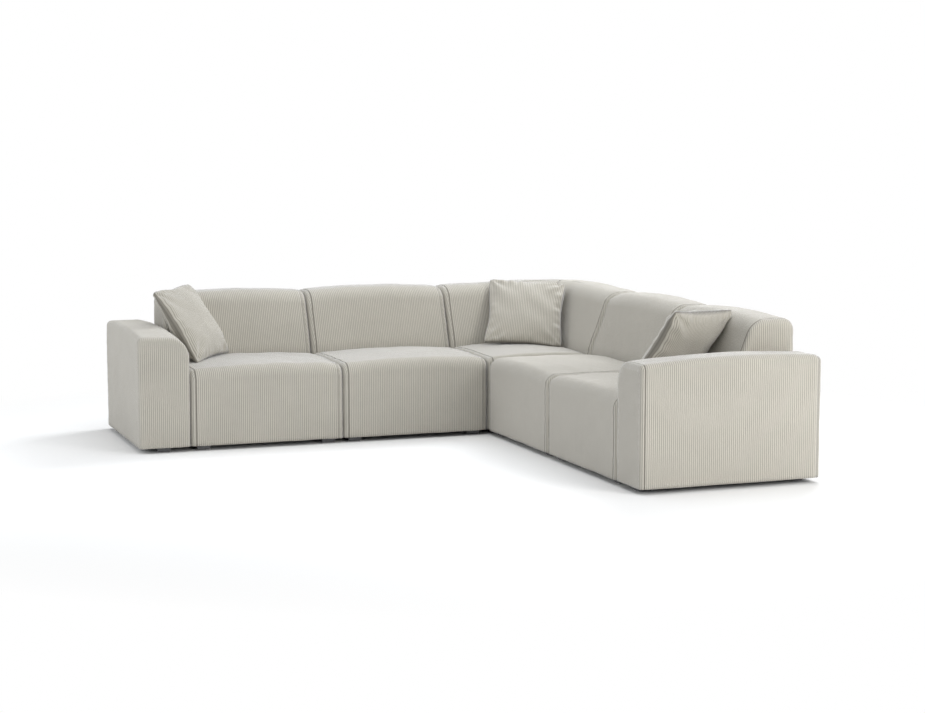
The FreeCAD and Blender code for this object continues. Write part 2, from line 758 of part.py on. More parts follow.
def arm_cloth():
    """The cloth stapled under an arm's frame."""
    u0, u1, v0, v1, _ = arm_frame_box()
    return box(u0, u1, v0, v1, GROUND_GAP, RAIL_BASE)


# Feet, hooks and sockets

def foot(u, v):
    """A low block foot with its lower edges chamfered."""
    half = FOOT_SIDE / 2.0
    block = box(u - half, u + half, v - half, v + half, 0.0, GROUND_GAP)
    lower = [edge for edge in block.Edges if edge.BoundBox.ZMax < 0.01]
    return block.makeChamfer(FOOT_CHAMFER, lower)


def seat_feet(wide):
    """A straight unit's four feet."""
    spots = [FOOT_INSET, wide - FOOT_INSET]
    return [foot(u, v) for u in spots for v in (FOOT_INSET, UNIT_DEPTH - FOOT_INSET)]


def corner_feet():
    """The corner unit's five feet: one under each end of its rails and one under its turn."""
    far = UNIT_DEPTH - FOOT_INSET
    turn = BACK_FOOT + (far - BACK_FOOT) * math.sin(math.radians(45.0))
    spots = [(FOOT_INSET, FOOT_INSET), (FOOT_INSET, far), (far, FOOT_INSET), (turn, turn)]
    return [foot(u, v) for u, v in spots]


def arm_feet():
    """An arm's two feet."""
    middle = ARM_WIDTH / 2.0
    return [foot(middle, FOOT_INSET), foot(middle, UNIT_DEPTH - FOOT_INSET)]


def hook(v):
    """A steel hook under the frame at the joint u = 0: its plate at u > 0, its tongue across the joint."""
    top = GROUND_GAP
    inner = UNIT_GAP / 2.0 + FRAME_INSET
    outer = -HOOK_REACH
    low = top - HOOK_DROP
    corners = [
        (inner + HOOK_BASE, top, 0.0),
        (inner + HOOK_BASE, top - HOOK_PLATE, 0.0),
        (inner + HOOK_PLATE, top - HOOK_PLATE, 0.0),
        (inner, low - HOOK_PLATE, 0.0),
        (outer, low - HOOK_PLATE, 0.0),
        (outer, low, 0.0),
        (inner - HOOK_PLATE, low, 0.0),
        (inner, top, 0.0),
    ]
    return prism(corners, along(v), Vector(0.0, HOOK_WIDTH, 0.0))


def socket(v):
    """The steel socket that the tongue slides into: two flanges on the frame, two cheeks and a bridge."""
    top = GROUND_GAP
    inner = -UNIT_GAP / 2.0 - FRAME_INSET
    room = HOOK_WIDTH / 2.0 + HOOK_PLAY
    middle = v + HOOK_WIDTH / 2.0
    floor = top - HOOK_DROP - HOOK_PLATE - HOOK_PLAY
    flange = 16.0
    wall = SOCKET_WALL
    corners = [
        (middle - room - wall - flange, top, 0.0),
        (middle - room, top, 0.0),
        (middle - room, floor, 0.0),
        (middle + room, floor, 0.0),
        (middle + room, top, 0.0),
        (middle + room + wall + flange, top, 0.0),
        (middle + room + wall + flange, top - wall, 0.0),
        (middle + room + wall, top - wall, 0.0),
        (middle + room + wall, floor - wall, 0.0),
        (middle - room - wall, floor - wall, 0.0),
        (middle - room - wall, top - wall, 0.0),
        (middle - room - wall - flange, top - wall, 0.0),
    ]
    return prism(corners, across(inner - SOCKET_LENGTH), Vector(SOCKET_LENGTH, 0.0, 0.0))


# Scatter cushions

def pillow_ring(half, dip, z, lengths):
    """Four drawn-in sides between four corners at z, each side in straight lengths."""
    turns = ((1.0, 0.0), (0.0, 1.0), (-1.0, 0.0), (0.0, -1.0))
    points = []
    for cos, sin in turns:
        for i in range(lengths):
            a = half * (2.0 * i / lengths - 1.0)
            b = dip * (1.0 - (a / half) ** 2) - half
            points.append(Vector(a * cos - b * sin, a * sin + b * cos, z))
    return points


def pillow(shrink, levels, lengths):
    """A square cushion with pointed corners and a seam round its edge, shrunk by a wall on every side."""
    half = CUSHION_HALF - CORNER_SHRINK * shrink
    swell = CUSHION_SWELL - shrink
    upper = [(size, dip, height) for size, dip, height in levels]
    lower = [(size, dip, -height) for size, dip, height in levels[:0:-1]]
    return skinned(
        [pillow_ring(half * size, CUSHION_DIP * dip, swell * height, lengths) for size, dip, height in lower + upper]
    )


def cushion_place(centre, heading, lean, roll):
    """Stands a flat cushion up: its face to the heading, its top leaning back, turned by a roll."""
    turn = Rotation(Vector(0, 0, 1), heading)
    tip = Rotation(Vector(0, 1, 0), 90.0 - lean)
    spin = Rotation(Vector(0, 0, 1), roll)
    return Placement(Vector(*centre), turn * tip * spin)


# Placing and writing

def left_run(start):
    """Places a unit of the left run, u along +X from start."""
    return Placement(Vector(start, INNER, 0.0), Rotation())


def right_run(start):
    """Places a unit of the right run, u along -Y from start and v along +X."""
    return Placement(Vector(INNER, start, 0.0), Rotation(Vector(0, 0, 1), -90.0))


def placed(shapes, placement):
    """Copies of the shapes, moved by the placement."""
    moved = []
    for shape in shapes:
        copy = shape.copy()
        copy.Placement = placement.multiply(copy.Placement)
        moved.append(copy)
    return moved


def write(name, shapes):
    """Writes one node's solids."""
    solids = [solid for shape in shapes for solid in shape.Solids]
    whole = solids[0] if len(solids) == 1 else Part.makeCompound(solids)
    whole.exportStep(os.path.join("parts", name + ".step"))


def build():
    """Makes every node and writes it."""
    os.makedirs("parts", exist_ok=True)
    straight = {
        "seat_cover": [seat_cover(SEAT_WIDTH, SEAT_FRONT_ROUND, [seat_way(SEAT_WIDTH)])],
        "seat_foam": [seat_foam(SEAT_WIDTH, SEAT_FRONT_ROUND)],
        "seat_webbing": seat_webbing(SEAT_WIDTH),
        "base_frame": straight_base_frame(SEAT_WIDTH),
        "back_cover": [straight_back_cover(SEAT_WIDTH)],
        "back_foam": [straight_back_foam(SEAT_WIDTH)],
        "back_frame": straight_back_frame(SEAT_WIDTH),
        "back_webbing": straight_back_webbing(SEAT_WIDTH),
    }
    corner = {
        "seat_cover": [corner_seat_cover()],
        "seat_foam": [seat_foam(SEAT_DEPTH + UNIT_GAP / 2.0, SIDE_ROUND)],
        "seat_webbing": corner_webbing(),
        "base_frame": corner_base_frame(),
        "back_cover": [corner_back_cover()],
        "back_foam": [corner_back_foam()],
        "back_frame": corner_back_frame(),
        "back_webbing": corner_back_webbing(),
    }
    outer_end = -HALF + ARM_WIDTH
    units = {
        "left_end": (straight, left_run(outer_end)),
        "left_middle": (straight, left_run(outer_end + SEAT_WIDTH)),
        "corner": (corner, left_run(INNER)),
        "right_middle": (straight, right_run(INNER)),
        "right_end": (straight, right_run(INNER - SEAT_WIDTH)),
    }
    runs = {"left_run": [], "corner": [], "right_run": []}
    cloths = {"left_run": [], "corner": [], "right_run": []}
    feet = {"left_run": [], "corner": [], "right_run": []}
    for name, (pieces, placement) in units.items():
        for piece, shapes in pieces.items():
            moved = placed(shapes, placement)
            if piece == "back_webbing":
                run = "corner" if name == "corner" else name.split("_")[0] + "_run"
                runs[run] += moved
            else:
                write(name + "_" + piece, moved)
        run = "corner" if name == "corner" else name.split("_")[0] + "_run"
        cloth = corner_cloth() if name == "corner" else base_cloth(SEAT_WIDTH)
        cloths[run] += placed([cloth], placement)
        unit_feet = corner_feet() if name == "corner" else seat_feet(SEAT_WIDTH)
        feet[run] += placed(unit_feet, placement)

    left_arm = left_run(-HALF)
    over = Vector(1.0, -1.0, 0.0).normalize()
    arm_pieces = {"cover": [arm_cover()], "foam": [arm_foam()], "frame": arm_frame()}
    for piece, shapes in arm_pieces.items():
        moved = placed(shapes, left_arm)
        write("left_arm_" + piece, moved)
        write("right_arm_" + piece, [shape.mirror(Vector(0, 0, 0), over) for shape in moved])
    cloth = placed([arm_cloth()], left_arm)
    arm_standing = placed(arm_feet(), left_arm)
    cloths["left_run"] += cloth
    cloths["right_run"] += [shape.mirror(Vector(0, 0, 0), over) for shape in cloth]
    feet["left_run"] += arm_standing
    feet["right_run"] += [shape.mirror(Vector(0, 0, 0), over) for shape in arm_standing]
    for run in runs:
        write(run + "_back_webbing", runs[run])
        write(run + "_base_cloth", cloths[run])
        write(run + "_feet", feet[run])

    joints = [left_run(outer_end + i * SEAT_WIDTH) for i in range(SEATS_PER_RUN + 1)]
    joints += [right_run(INNER - i * SEAT_WIDTH) for i in range(SEATS_PER_RUN + 1)]
    hooks = [hook(v) for v in (HOOK_FRONT, HOOK_REAR)]
    sockets = [socket(v) for v in (HOOK_FRONT, HOOK_REAR)]
    write("joining_hooks", [piece for joint in joints for piece in placed(hooks, joint)])
    write("joining_sockets", [piece for joint in joints for piece in placed(sockets, joint)])

    cover = pillow(0.0, CUSHION_LEVELS, 4).cut(pillow(CUSHION_WALL, CUSHION_LEVELS[::2], 2))
    filling = pillow(CUSHION_WALL + LAYER_GAP, CUSHION_LEVELS[::2], 2)
    for name, pose in CUSHION_POSES.items():
        place = cushion_place(**pose)
        write(name + "_cover", placed([cover], place))
        write(name + "_filling", placed([filling], place))


build()
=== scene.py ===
"""Looks of a corner sofa in ribbed corduroy: five seat units, two block arms and three scatter cushions.

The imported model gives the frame, in metres with +Z up. The left run goes along +X with its back to +Y, and
the right run goes along -Y with its back to +X. Each unit is shaped in a frame of its own: u across the
unit, v from the front edge to the back, w up.
"""

from __future__ import annotations

import json
import logging
import math
from dataclasses import dataclass, field
from enum import Enum
from typing import Callable, NamedTuple, Sequence

import bmesh
import bpy
import numpy as np
from mathutils import Euler, Matrix, Vector
from mathutils.geometry import delaunay_2d_cdt


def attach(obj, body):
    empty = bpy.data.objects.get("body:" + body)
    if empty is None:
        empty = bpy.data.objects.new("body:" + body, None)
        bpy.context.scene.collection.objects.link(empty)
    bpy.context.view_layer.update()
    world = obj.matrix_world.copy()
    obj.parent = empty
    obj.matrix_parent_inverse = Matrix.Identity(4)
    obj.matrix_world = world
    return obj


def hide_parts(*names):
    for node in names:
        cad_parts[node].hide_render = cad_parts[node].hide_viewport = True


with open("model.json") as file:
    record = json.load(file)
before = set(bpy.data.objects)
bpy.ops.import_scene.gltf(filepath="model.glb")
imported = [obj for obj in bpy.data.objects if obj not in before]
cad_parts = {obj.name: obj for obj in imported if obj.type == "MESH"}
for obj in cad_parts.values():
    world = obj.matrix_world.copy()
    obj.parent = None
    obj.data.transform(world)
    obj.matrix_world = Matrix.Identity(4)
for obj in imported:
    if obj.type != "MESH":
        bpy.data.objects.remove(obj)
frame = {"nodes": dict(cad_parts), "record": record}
LOG = logging.getLogger("corner_sofa")
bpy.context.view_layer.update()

# Sizes shared by the units, in metres
HALF = 1.440
INNER = 0.490
UNIT_DEPTH = 0.950
SEAT_WIDTH = 0.830
SEAT_DEPTH = 0.600
ARM_WIDTH = 0.270
UNIT_GAP = 0.003
BACK_FOOT = 0.604
HEM = 0.027
END_ROUND = 0.026
LEAST_RADIUS = 0.001

# The cloth's ribs and seams, in metres but for the steps of a rib and the ribs' middle height
RIB_MAP = "ribs"
# The seam mark and its width set where the cloth is painted with shade down the seams
SEAM_SHADE_MARK = "seam"
SEAM_SHADE_WIDTH = 0.0028
RIB_PITCH = 0.01035
RIB_STEPS = 4
RIB_STEP = RIB_PITCH / RIB_STEPS
RIB_HEIGHT = 0.0012
RIB_MIDDLE = 0.6
RIB_FADE = 0.020

# How finely the blocks are cut
ROUND_STEPS = 8
CLEAR_SHARE = 0.3
ARC_STEP = 0.007
SIDE_STEP = 0.017
PANEL_ROW = 0.024
PANEL_RIM = 0.0016

# The lengths of the folds, and the waves added up for a pucker
SLOW_FOLD = 0.23
QUICK_FOLD = 0.075
PUCKER_LENGTH = 0.042
PUCKER_REACH = 0.022
PUCKER_WAVES = 7
PANEL_FOLD = 0.12

# The distances from a panel's rim over which its bulge, folds and ribs grow
PANEL_BULGE_RUN = 0.07
PANEL_FOLD_RUN = 0.02
PANEL_RIB_RUN = 0.008

# How much the folds change across the ribs, against along them, and the quick folds' share of the height
PUCKER_STRETCH = 0.15
QUICK_STRETCH = 1.4
QUICK_SHARE = 0.35

# How full the pieces are
SEAT_FILL = 0.9
BACK_FILL = 0.85

Map = Callable[[np.ndarray], np.ndarray]
Profile = Callable[[float], np.ndarray]


class Turn(Enum):
    """How a unit's own frame lies in the sofa's frame."""

    ALONG_X = "u along +X, v along +Y"
    ALONG_Y = "u along -Y, v along +X"
    OVER_Y = "u along +Y, v along +X"


def placed(turn: Turn, start: float) -> Map:
    """The move from a unit's frame to the sofa's frame.

    Args:
        turn: how the unit lies.
        start: where its u is 0 along its run.

    Returns:
        A function of an array of points.
    """

    def move(points: np.ndarray) -> np.ndarray:
        u, v, w = points[..., 0], points[..., 1], points[..., 2]
        if turn is Turn.ALONG_X:
            return np.stack([start + u, INNER + v, w], axis=-1)
        if turn is Turn.ALONG_Y:
            return np.stack([INNER + v, start - u, w], axis=-1)
        return np.stack([INNER + v, start + u, w], axis=-1)

    return move


# Outlines


def unit(vector: np.ndarray) -> np.ndarray:
    """The vector at a length of one."""
    return vector / np.linalg.norm(vector)


def inset(corners: np.ndarray, distance: float) -> np.ndarray:
    """Moves an outline's corners inward.

    Args:
        corners: rows of (a, b, reach), reach the length of each corner's rounding.
        distance: how far every side moves in.

    Returns:
        The moved corners, each rounding's radius less by the distance.
    """
    flat = corners[:, :2]
    after = np.roll(flat, -1, axis=0)
    area = float(np.sum(flat[:, 0] * after[:, 1] - after[:, 0] * flat[:, 1]))
    side = 1.0 if area > 0.0 else -1.0
    moved = corners.copy()
    for i in range(len(corners)):
        into = unit(flat[i] - flat[i - 1])
        out = unit(after[i] - flat[i])
        half_turn = math.tan(0.5 * math.acos(max(-1.0, min(1.0, float(into @ out)))))
        normal_in = side * np.array([-into[1], into[0]])
        normal_out = side * np.array([-out[1], out[0]])
        moved[i, :2] = flat[i] + distance * (normal_in + normal_out) / (1.0 + float(normal_in @ normal_out))
        if corners[i, 2] > 0.0:
            moved[i, 2] = max(corners[i, 2] / half_turn - distance, LEAST_RADIUS) * half_turn
    return moved


def drawn_in(corners: np.ndarray, distance: float) -> np.ndarray:
    """The corners moved inward, but for the hem, which stays level."""
    moved = inset(corners, distance)
    moved[corners[:, 1] == HEM, 1] = HEM
    return moved


@dataclass(frozen=True)
class Walk:
    """How many steps an outline is walked in.

    Attributes:
        arcs: steps round each corner.
        sides: steps along the side after each corner.
    """

    arcs: tuple[int, ...]
    sides: tuple[int, ...]

    @staticmethod
    def along(corners: np.ndarray, arc_step: float, side_step: float) -> Walk:
        """Picks the steps for an outline by their length, in metres."""
        count = len(corners)
        arcs = []
        sides = []
        for i in range(count):
            arcs.append(max(3, round(2.0 * corners[i, 2] / arc_step)) if corners[i, 2] > 0.0 else 0)
            length = float(np.linalg.norm(corners[(i + 1) % count, :2] - corners[i, :2]))
            rest = length - corners[i, 2] - corners[(i + 1) % count, 2]
            sides.append(max(2, round(rest / side_step)))
        return Walk(tuple(arcs), tuple(sides))

    def points(self, corners: np.ndarray) -> np.ndarray:
        """The outline's points, as rows of (a, b)."""
        count = len(corners)
        arcs: list[list[np.ndarray]] = []
        for i in range(count):
            at = corners[i, :2]
            if self.arcs[i] == 0:
                arcs.append([at])
                continue
            back = unit(corners[i - 1, :2] - at)
            ahead = unit(corners[(i + 1) % count, :2] - at)
            inside = math.acos(max(-1.0, min(1.0, float(back @ ahead))))
            turn = math.pi - inside
            centre = at + unit(back + ahead) * corners[i, 2] / math.cos(0.5 * inside)
            first = at + back * corners[i, 2] - centre
            last = at + ahead * corners[i, 2] - centre
            shares = np.linspace(0.0, 1.0, self.arcs[i] + 1)[:, None]
            arc = (np.sin((1.0 - shares) * turn) * first + np.sin(shares * turn) * last) / math.sin(turn)
            arcs.append(list(centre + arc))
        found: list[np.ndarray] = []
        for i in range(count):
            start, stop = arcs[i][-1], arcs[(i + 1) % count][0]
            found += arcs[i]
            found += [start + (stop - start) * k / self.sides[i] for k in range(1, self.sides[i])]
        return np.array(found)


def waves(seed: int, across: np.ndarray, along: np.ndarray, length: float, count: int = 9) -> np.ndarray:
    """Smooth irregular waves, about -1 to 1.

    Args:
        seed: fixes the waves.
        across: one coordinate, in metres.
        along: the other coordinate, in metres.
        length: the usual wave length, in metres.
        count: how many waves are added up.

    Returns:
        The waves' height at each place.
    """
    chance = np.random.default_rng(seed)
    total = np.zeros(np.broadcast(across, along).shape)
    for _ in range(count):
        angle = chance.uniform(0.0, math.tau)
        stretch = length * chance.uniform(0.6, 1.7)
        shift = chance.uniform(0.0, math.tau)
        total += np.sin((across * math.cos(angle) + along * math.sin(angle)) * math.tau / stretch + shift)
    return total / math.sqrt(2.0 * count)


def hill(distance: np.ndarray, width: float) -> np.ndarray:
    """1 at no distance, falling smoothly to 0 over the width."""
    return np.exp(-((distance / width) ** 2))


def wale(across: np.ndarray) -> np.ndarray:
    """A rib's height over the cloth's rib coordinate, 0 in the groove and 1 on the crest."""
    return 1.0 - np.abs(2.0 * np.mod(across / RIB_PITCH, 1.0) - 1.0) ** 3


# Skins


def write_back(work: bmesh.types.BMesh, mesh: bpy.types.Mesh) -> None:
    """Turns the faces outward, writes them to the mesh and smooths it."""
    bmesh.ops.recalc_face_normals(work, faces=work.faces)
    if work.calc_volume(signed=True) < 0.0:
        bmesh.ops.reverse_faces(work, faces=work.faces)
    work.to_mesh(mesh)
    work.free()
    mesh.polygons.foreach_set("use_smooth", [True] * len(mesh.polygons))
    mesh.update()


@dataclass
class Skin:
    """A closed surface in the making.

    Attributes:
        order: which of a point's three numbers are u, v and w.
        points: the points, in blocks.
        faces: the points of each face.
        ribs: the rib map, corner by corner.
        seams: how deep in a seam each point lies, in the same blocks, which sets the painted shade there.
    """

    order: tuple[int, int, int] = (0, 1, 2)
    points: list[np.ndarray] = field(default_factory=list)
    faces: list[tuple[int, ...]] = field(default_factory=list)
    ribs: list[tuple[float, float]] = field(default_factory=list)
    seams: list[np.ndarray] = field(default_factory=list)

    def add_points(self, points: np.ndarray, seam: np.ndarray | float = 0.0) -> int:
        """Adds points, with how deep in a seam each lies for the painted shade, and says where they begin."""
        first = sum(len(block) for block in self.points)
        self.points.append(points.reshape(-1, 3)[:, list(self.order)])
        self.seams.append(np.broadcast_to(seam, points.shape[:-1]).reshape(-1))
        return first

    def add_face(self, corners: Sequence[int], ribs: Sequence[tuple[float, float]]) -> None:
        """Adds a face with its rib map."""
        self.faces.append(tuple(corners))
        self.ribs.extend(ribs)

    def built(self, name: str, finish: Finish, move: Map | None = None) -> bpy.types.Object:
        """Makes the object.

        Args:
            name: the object's name.
            finish: its material.
            move: the move into the sofa's frame.

        Returns:
            The object, closed, smooth, faces outward.
        """
        points = np.concatenate(self.points)
        if move is not None:
            points = move(points)
        mesh = bpy.data.meshes.new(name)
        mesh.from_pydata(points.tolist(), [], self.faces)
        layer = mesh.uv_layers.new(name=RIB_MAP)
        layer.data.foreach_set("uv", np.array(self.ribs, dtype=np.float32).ravel())
        # The seam depth on each point, which paints shade down the seams
        depth = mesh.attributes.new(SEAM_SHADE_MARK, "FLOAT", "POINT")
        depth.data.foreach_set("value", np.concatenate(self.seams).astype(np.float32))
        work = bmesh.new()
        work.from_mesh(mesh)
        write_back(work, mesh)
        mesh.materials.append(finish.material())
        made = bpy.data.objects.new(name, mesh)
        bpy.context.scene.collection.objects.link(made)
        return made


def outward(grid: np.ndarray) -> np.ndarray:
    """Unit normals of a grid of stations by ring points, pointing out of it."""
    along = np.gradient(grid, axis=0)
    around = np.roll(grid, -1, axis=1) - np.roll(grid, 1, axis=1)
    normal = np.cross(along, around)
    normal /= np.maximum(np.linalg.norm(normal, axis=2, keepdims=True), 1e-12)
    centre = grid.mean(axis=1, keepdims=True)
    agrees = np.sum(normal * (grid - centre))
    return normal * (1.0 if agrees > 0.0 else -1.0)


@dataclass(frozen=True)
class Seam:
    """How the panels meet: a groove a little in from each end.

    Attributes:
        inset: from the end to the seam.
        depth: how deep the groove is.
        width: half its width.
    """

    inset: float = 0.027
    depth: float = 0.0045
    width: float = 0.0042

    def mark(self, off_end: np.ndarray) -> np.ndarray:
        """How deep in the seam a place is, 0 to 1, which sets the painted shade there."""
        return hill(off_end - self.inset, SEAM_SHADE_WIDTH)

    def lift(self, off_end: np.ndarray, across: np.ndarray, along: np.ndarray,
             pucker: float, seed: int) -> np.ndarray:
        """How far the cloth stands out in its puckers, the groove and the ribs.

        Args:
            off_end: distance from the end.
            across: the place across the ribs.
            along: the place along the ribs.
            pucker: height of the puckers.
            seed: fixes the puckers.

        Returns:
            The lift at each place.
        """
        off_seam = off_end - self.inset
        creases = waves(seed, across * PUCKER_STRETCH, along, PUCKER_LENGTH, PUCKER_WAVES)
        lift = pucker * hill(off_seam, PUCKER_REACH) * creases
        lift = lift - self.depth * hill(off_seam, self.width)
        return lift + RIB_HEIGHT * (wale(across) - RIB_MIDDLE) * np.clip(off_seam / RIB_FADE, 0.0, 1.0)


class Station(NamedTuple):
    """One ring's place along a block.

    Attributes:
        place: where it lies on the station axis.
        draw: how far the outline is drawn in there.
        unrolled: distance from the end plane over the rounding, or -1 on the wrap.
    """

    place: float
    draw: float = 0.0
    unrolled: float = -1.0


def round_end(end: float, reach: float, way: float = 1.0) -> list[Station]:
    """The stations over a rounded end, from its plane inward; the way is -1 from the last end."""
    angles = [0.5 * math.pi * k / ROUND_STEPS for k in range(ROUND_STEPS)]
    return [
        Station(end + way * reach * (1.0 - math.cos(angle)), reach * (1.0 - math.sin(angle)), reach * angle)
        for angle in angles
    ]


def rib_stations(low: float, high: float) -> list[Station]:
    """The stations between two places, on the ribs' steps and a little clear of both."""
    first = math.ceil(low / RIB_STEP + CLEAR_SHARE)
    last = math.floor(high / RIB_STEP - CLEAR_SHARE)
    return [Station(k * RIB_STEP) for k in range(first, last + 1)]


@dataclass(frozen=True)
class Rings:
    """A profile's outlines at a row of stations.

    Attributes:
        stations: the stations.
        full: the plain outline at each, as rows of (a, b).
        drawn: the same outlines, drawn in over the rounded ends.
    """

    stations: list[Station]
    full: np.ndarray
    drawn: np.ndarray

    @staticmethod
    def walked(profile: Profile, stations: list[Station], middle: float) -> Rings:
        """Walks the outline at each station, in steps picked at the middle place."""
        walk = Walk.along(profile(middle), ARC_STEP, SIDE_STEP)
        full = [walk.points(profile(station.place)) for station in stations]
        drawn = [walk.points(drawn_in(profile(station.place), station.draw)) for station in stations]
        return Rings(stations, np.array(full), np.array(drawn))

    def places(self) -> np.ndarray:
        """The stations' places, as a column."""
        return np.array([station.place for station in self.stations])[:, None]

    def lengths(self) -> np.ndarray:
        """The way round the middle station's outline, from 0 to the whole."""
        steps = np.linalg.norm(np.roll(self.drawn, -1, axis=1) - self.drawn, axis=2)
        return np.concatenate([[0.0], np.cumsum(steps[len(self.stations) // 2])])

    def panel_maps(self) -> list[np.ndarray]:
        """The rib map of the end panels, unrolled over the rounded ends."""
        maps = []
        for i, station in enumerate(self.stations):
            end = self.drawn[0 if i < len(self.stations) // 2 else -1]
            out = self.full[i] - end
            out = out / np.maximum(np.linalg.norm(out, axis=1, keepdims=True), 1e-9)
            maps.append(end + out * max(station.unrolled, 0.0))
        return maps

    def add_wrap(self, skin: Skin) -> None:
        """Adds the faces between the stations."""
        lengths, panels = self.lengths(), self.panel_maps()
        size = len(lengths) - 1
        for i, (here, there) in enumerate(zip(self.stations, self.stations[1:])):
            for j in range(size):
                after = (j + 1) % size
                corners = (i * size + j, i * size + after, (i + 1) * size + after, (i + 1) * size + j)
                if min(here.unrolled, there.unrolled) < 0.0:
                    ribs = [(here.place, lengths[j]), (here.place, lengths[j + 1]),
                            (there.place, lengths[j + 1]), (there.place, lengths[j])]
                else:
                    ribs = [tuple(panels[i][j]), tuple(panels[i][after]),
                            tuple(panels[i + 1][after]), tuple(panels[i + 1][j])]
                skin.add_face(corners, ribs)


@dataclass(frozen=True)
class Panel:
    """A ribbed panel that closes an end.

    Attributes:
        seed: fixes its folds.
        bulge: how far its middle stands out.
        fold: height of its folds.
    """

    seed: int
    bulge: float = 0.0
    fold: float = 0.0015

    @staticmethod
    def cells(ring: np.ndarray) -> tuple[np.ndarray, np.ndarray]:
        """The points inside a ring, in columns on the ribs' steps, and each one's distance from its sides."""
        low, high = ring.min(axis=0), ring.max(axis=0)
        columns = np.arange(math.ceil(low[0] / RIB_STEP) * RIB_STEP, high[0], RIB_STEP)
        rows = np.arange(low[1] + 0.5 * PANEL_ROW, high[1], PANEL_ROW)
        cells = np.array([(a, b) for a in columns for b in rows])
        after = np.roll(ring, -1, axis=0)
        turned = np.stack([after[:, 1] - ring[:, 1], ring[:, 0] - after[:, 0]], axis=1)
        long = np.linalg.norm(turned, axis=1)
        kept = long > 1e-6
        turned = turned[kept] / long[kept, None]
        if np.sum(turned * (ring.mean(axis=0) - ring[kept])) < 0.0:
            turned = -turned
        depth = np.einsum("ijk,jk->ij", cells[:, None, :] - ring[None, kept, :], turned).min(axis=1)
        inside = depth > PANEL_RIM
        return cells[inside], depth[inside]

    def lift(self, cells: np.ndarray, depth: np.ndarray) -> np.ndarray:
        """How far each point stands out of the end plane: the bulge, the folds and the ribs."""
        folds = waves(self.seed, cells[:, 0], cells[:, 1], PANEL_FOLD)
        lift = self.bulge * (1.0 - np.exp(-depth / PANEL_BULGE_RUN))
        lift = lift + self.fold * (1.0 - np.exp(-depth / PANEL_FOLD_RUN)) * folds
        grown = np.clip(depth / PANEL_RIB_RUN, 0.0, 1.0)
        return lift + RIB_HEIGHT * (wale(cells[:, 0]) - RIB_MIDDLE) * grown

    def close(self, skin: Skin, border: np.ndarray, ring: np.ndarray, first: int, side: float) -> None:
        """Closes one end.

        Args:
            skin: what the panel is added to.
            border: the end ring's points as (station, a, b).
            ring: the end ring's plain outline.
            first: the number of the ring's first point.
            side: -1 or 1, the way out along the station axis.
        """
        cells, depth = self.cells(ring)
        corners = [Vector(row) for row in np.concatenate([ring, cells])]
        size = len(ring)
        loops = [(j, (j + 1) % size) for j in range(size)]
        found, _, faces, origins, _, _ = delaunay_2d_cdt(corners, loops, [], 1, 1e-7)
        out = border[:, 0].mean() + side * self.lift(cells, depth)
        start = skin.add_points(np.column_stack([out, cells]))
        number = []
        for names in origins:
            pick = min(names)
            number.append(first + pick if pick < size else start + pick - size)
        for face in faces:
            skin.add_face([number[k] for k in face], [tuple(found[k]) for k in face])


@dataclass(frozen=True)
class Block:
    """A stuffed block: a profile carried along the unit, with rounded ends and panels that close them.

    Attributes:
        profile: the outline at a station, as rows of (a, b, reach).
        start: the first end, along the station axis.
        stop: the other end.
        seed: fixes the folds.
        end_rounds: rounding of the two ends.
        seam: the seams beside the ends.
        fold: height of the slow folds.
        pucker: height of the puckers beside the seams.
        bulge: how far the end panels stand out.
        order: which of (station, a, b) are u, v and w.
    """

    profile: Profile
    start: float
    stop: float
    seed: int
    end_rounds: tuple[float, float] = (END_ROUND, END_ROUND)
    seam: Seam = Seam()
    fold: float = 0.0015
    pucker: float = 0.0016
    bulge: float = 0.0
    order: tuple[int, int, int] = (0, 1, 2)

    def stations(self) -> list[Station]:
        """The stations over the first end, along the ribs and over the last end."""
        first, last = self.end_rounds
        between = rib_stations(self.start + first, self.stop - last)
        return round_end(self.start, first) + between + round_end(self.stop, last, -1.0)[::-1]

    def skin(self) -> Skin:
        """The whole surface, with folds, ribs and seams."""
        rings = Rings.walked(self.profile, self.stations(), 0.5 * (self.start + self.stop))
        across, along = rings.places(), rings.lengths()[None, :-1]
        off_end = np.minimum(across - self.start, self.stop - across)
        lift = self.fold * waves(self.seed, across, along, SLOW_FOLD)
        quick = waves(self.seed + 1, across * QUICK_STRETCH, along, QUICK_FOLD)
        lift = lift + QUICK_SHARE * self.fold * quick
        lift = lift + self.seam.lift(off_end, across, along, self.pucker, self.seed + 2)
        size = rings.drawn.shape[1]
        grid = np.concatenate([np.repeat(across[..., None], size, axis=1), rings.drawn], axis=2)
        moved = grid + outward(grid) * lift[..., None]
        skin = Skin(self.order)
        # The seam depth, which paints shade beside the ends
        skin.add_points(moved, self.seam.mark(off_end))
        rings.add_wrap(skin)
        panel = Panel(self.seed + 7, self.bulge)
        for ring, side in ((0, -1.0), (len(moved) - 1, 1.0)):
            panel.close(skin, moved[ring], rings.drawn[ring], ring * size, side)
        return skin


# Shader maths


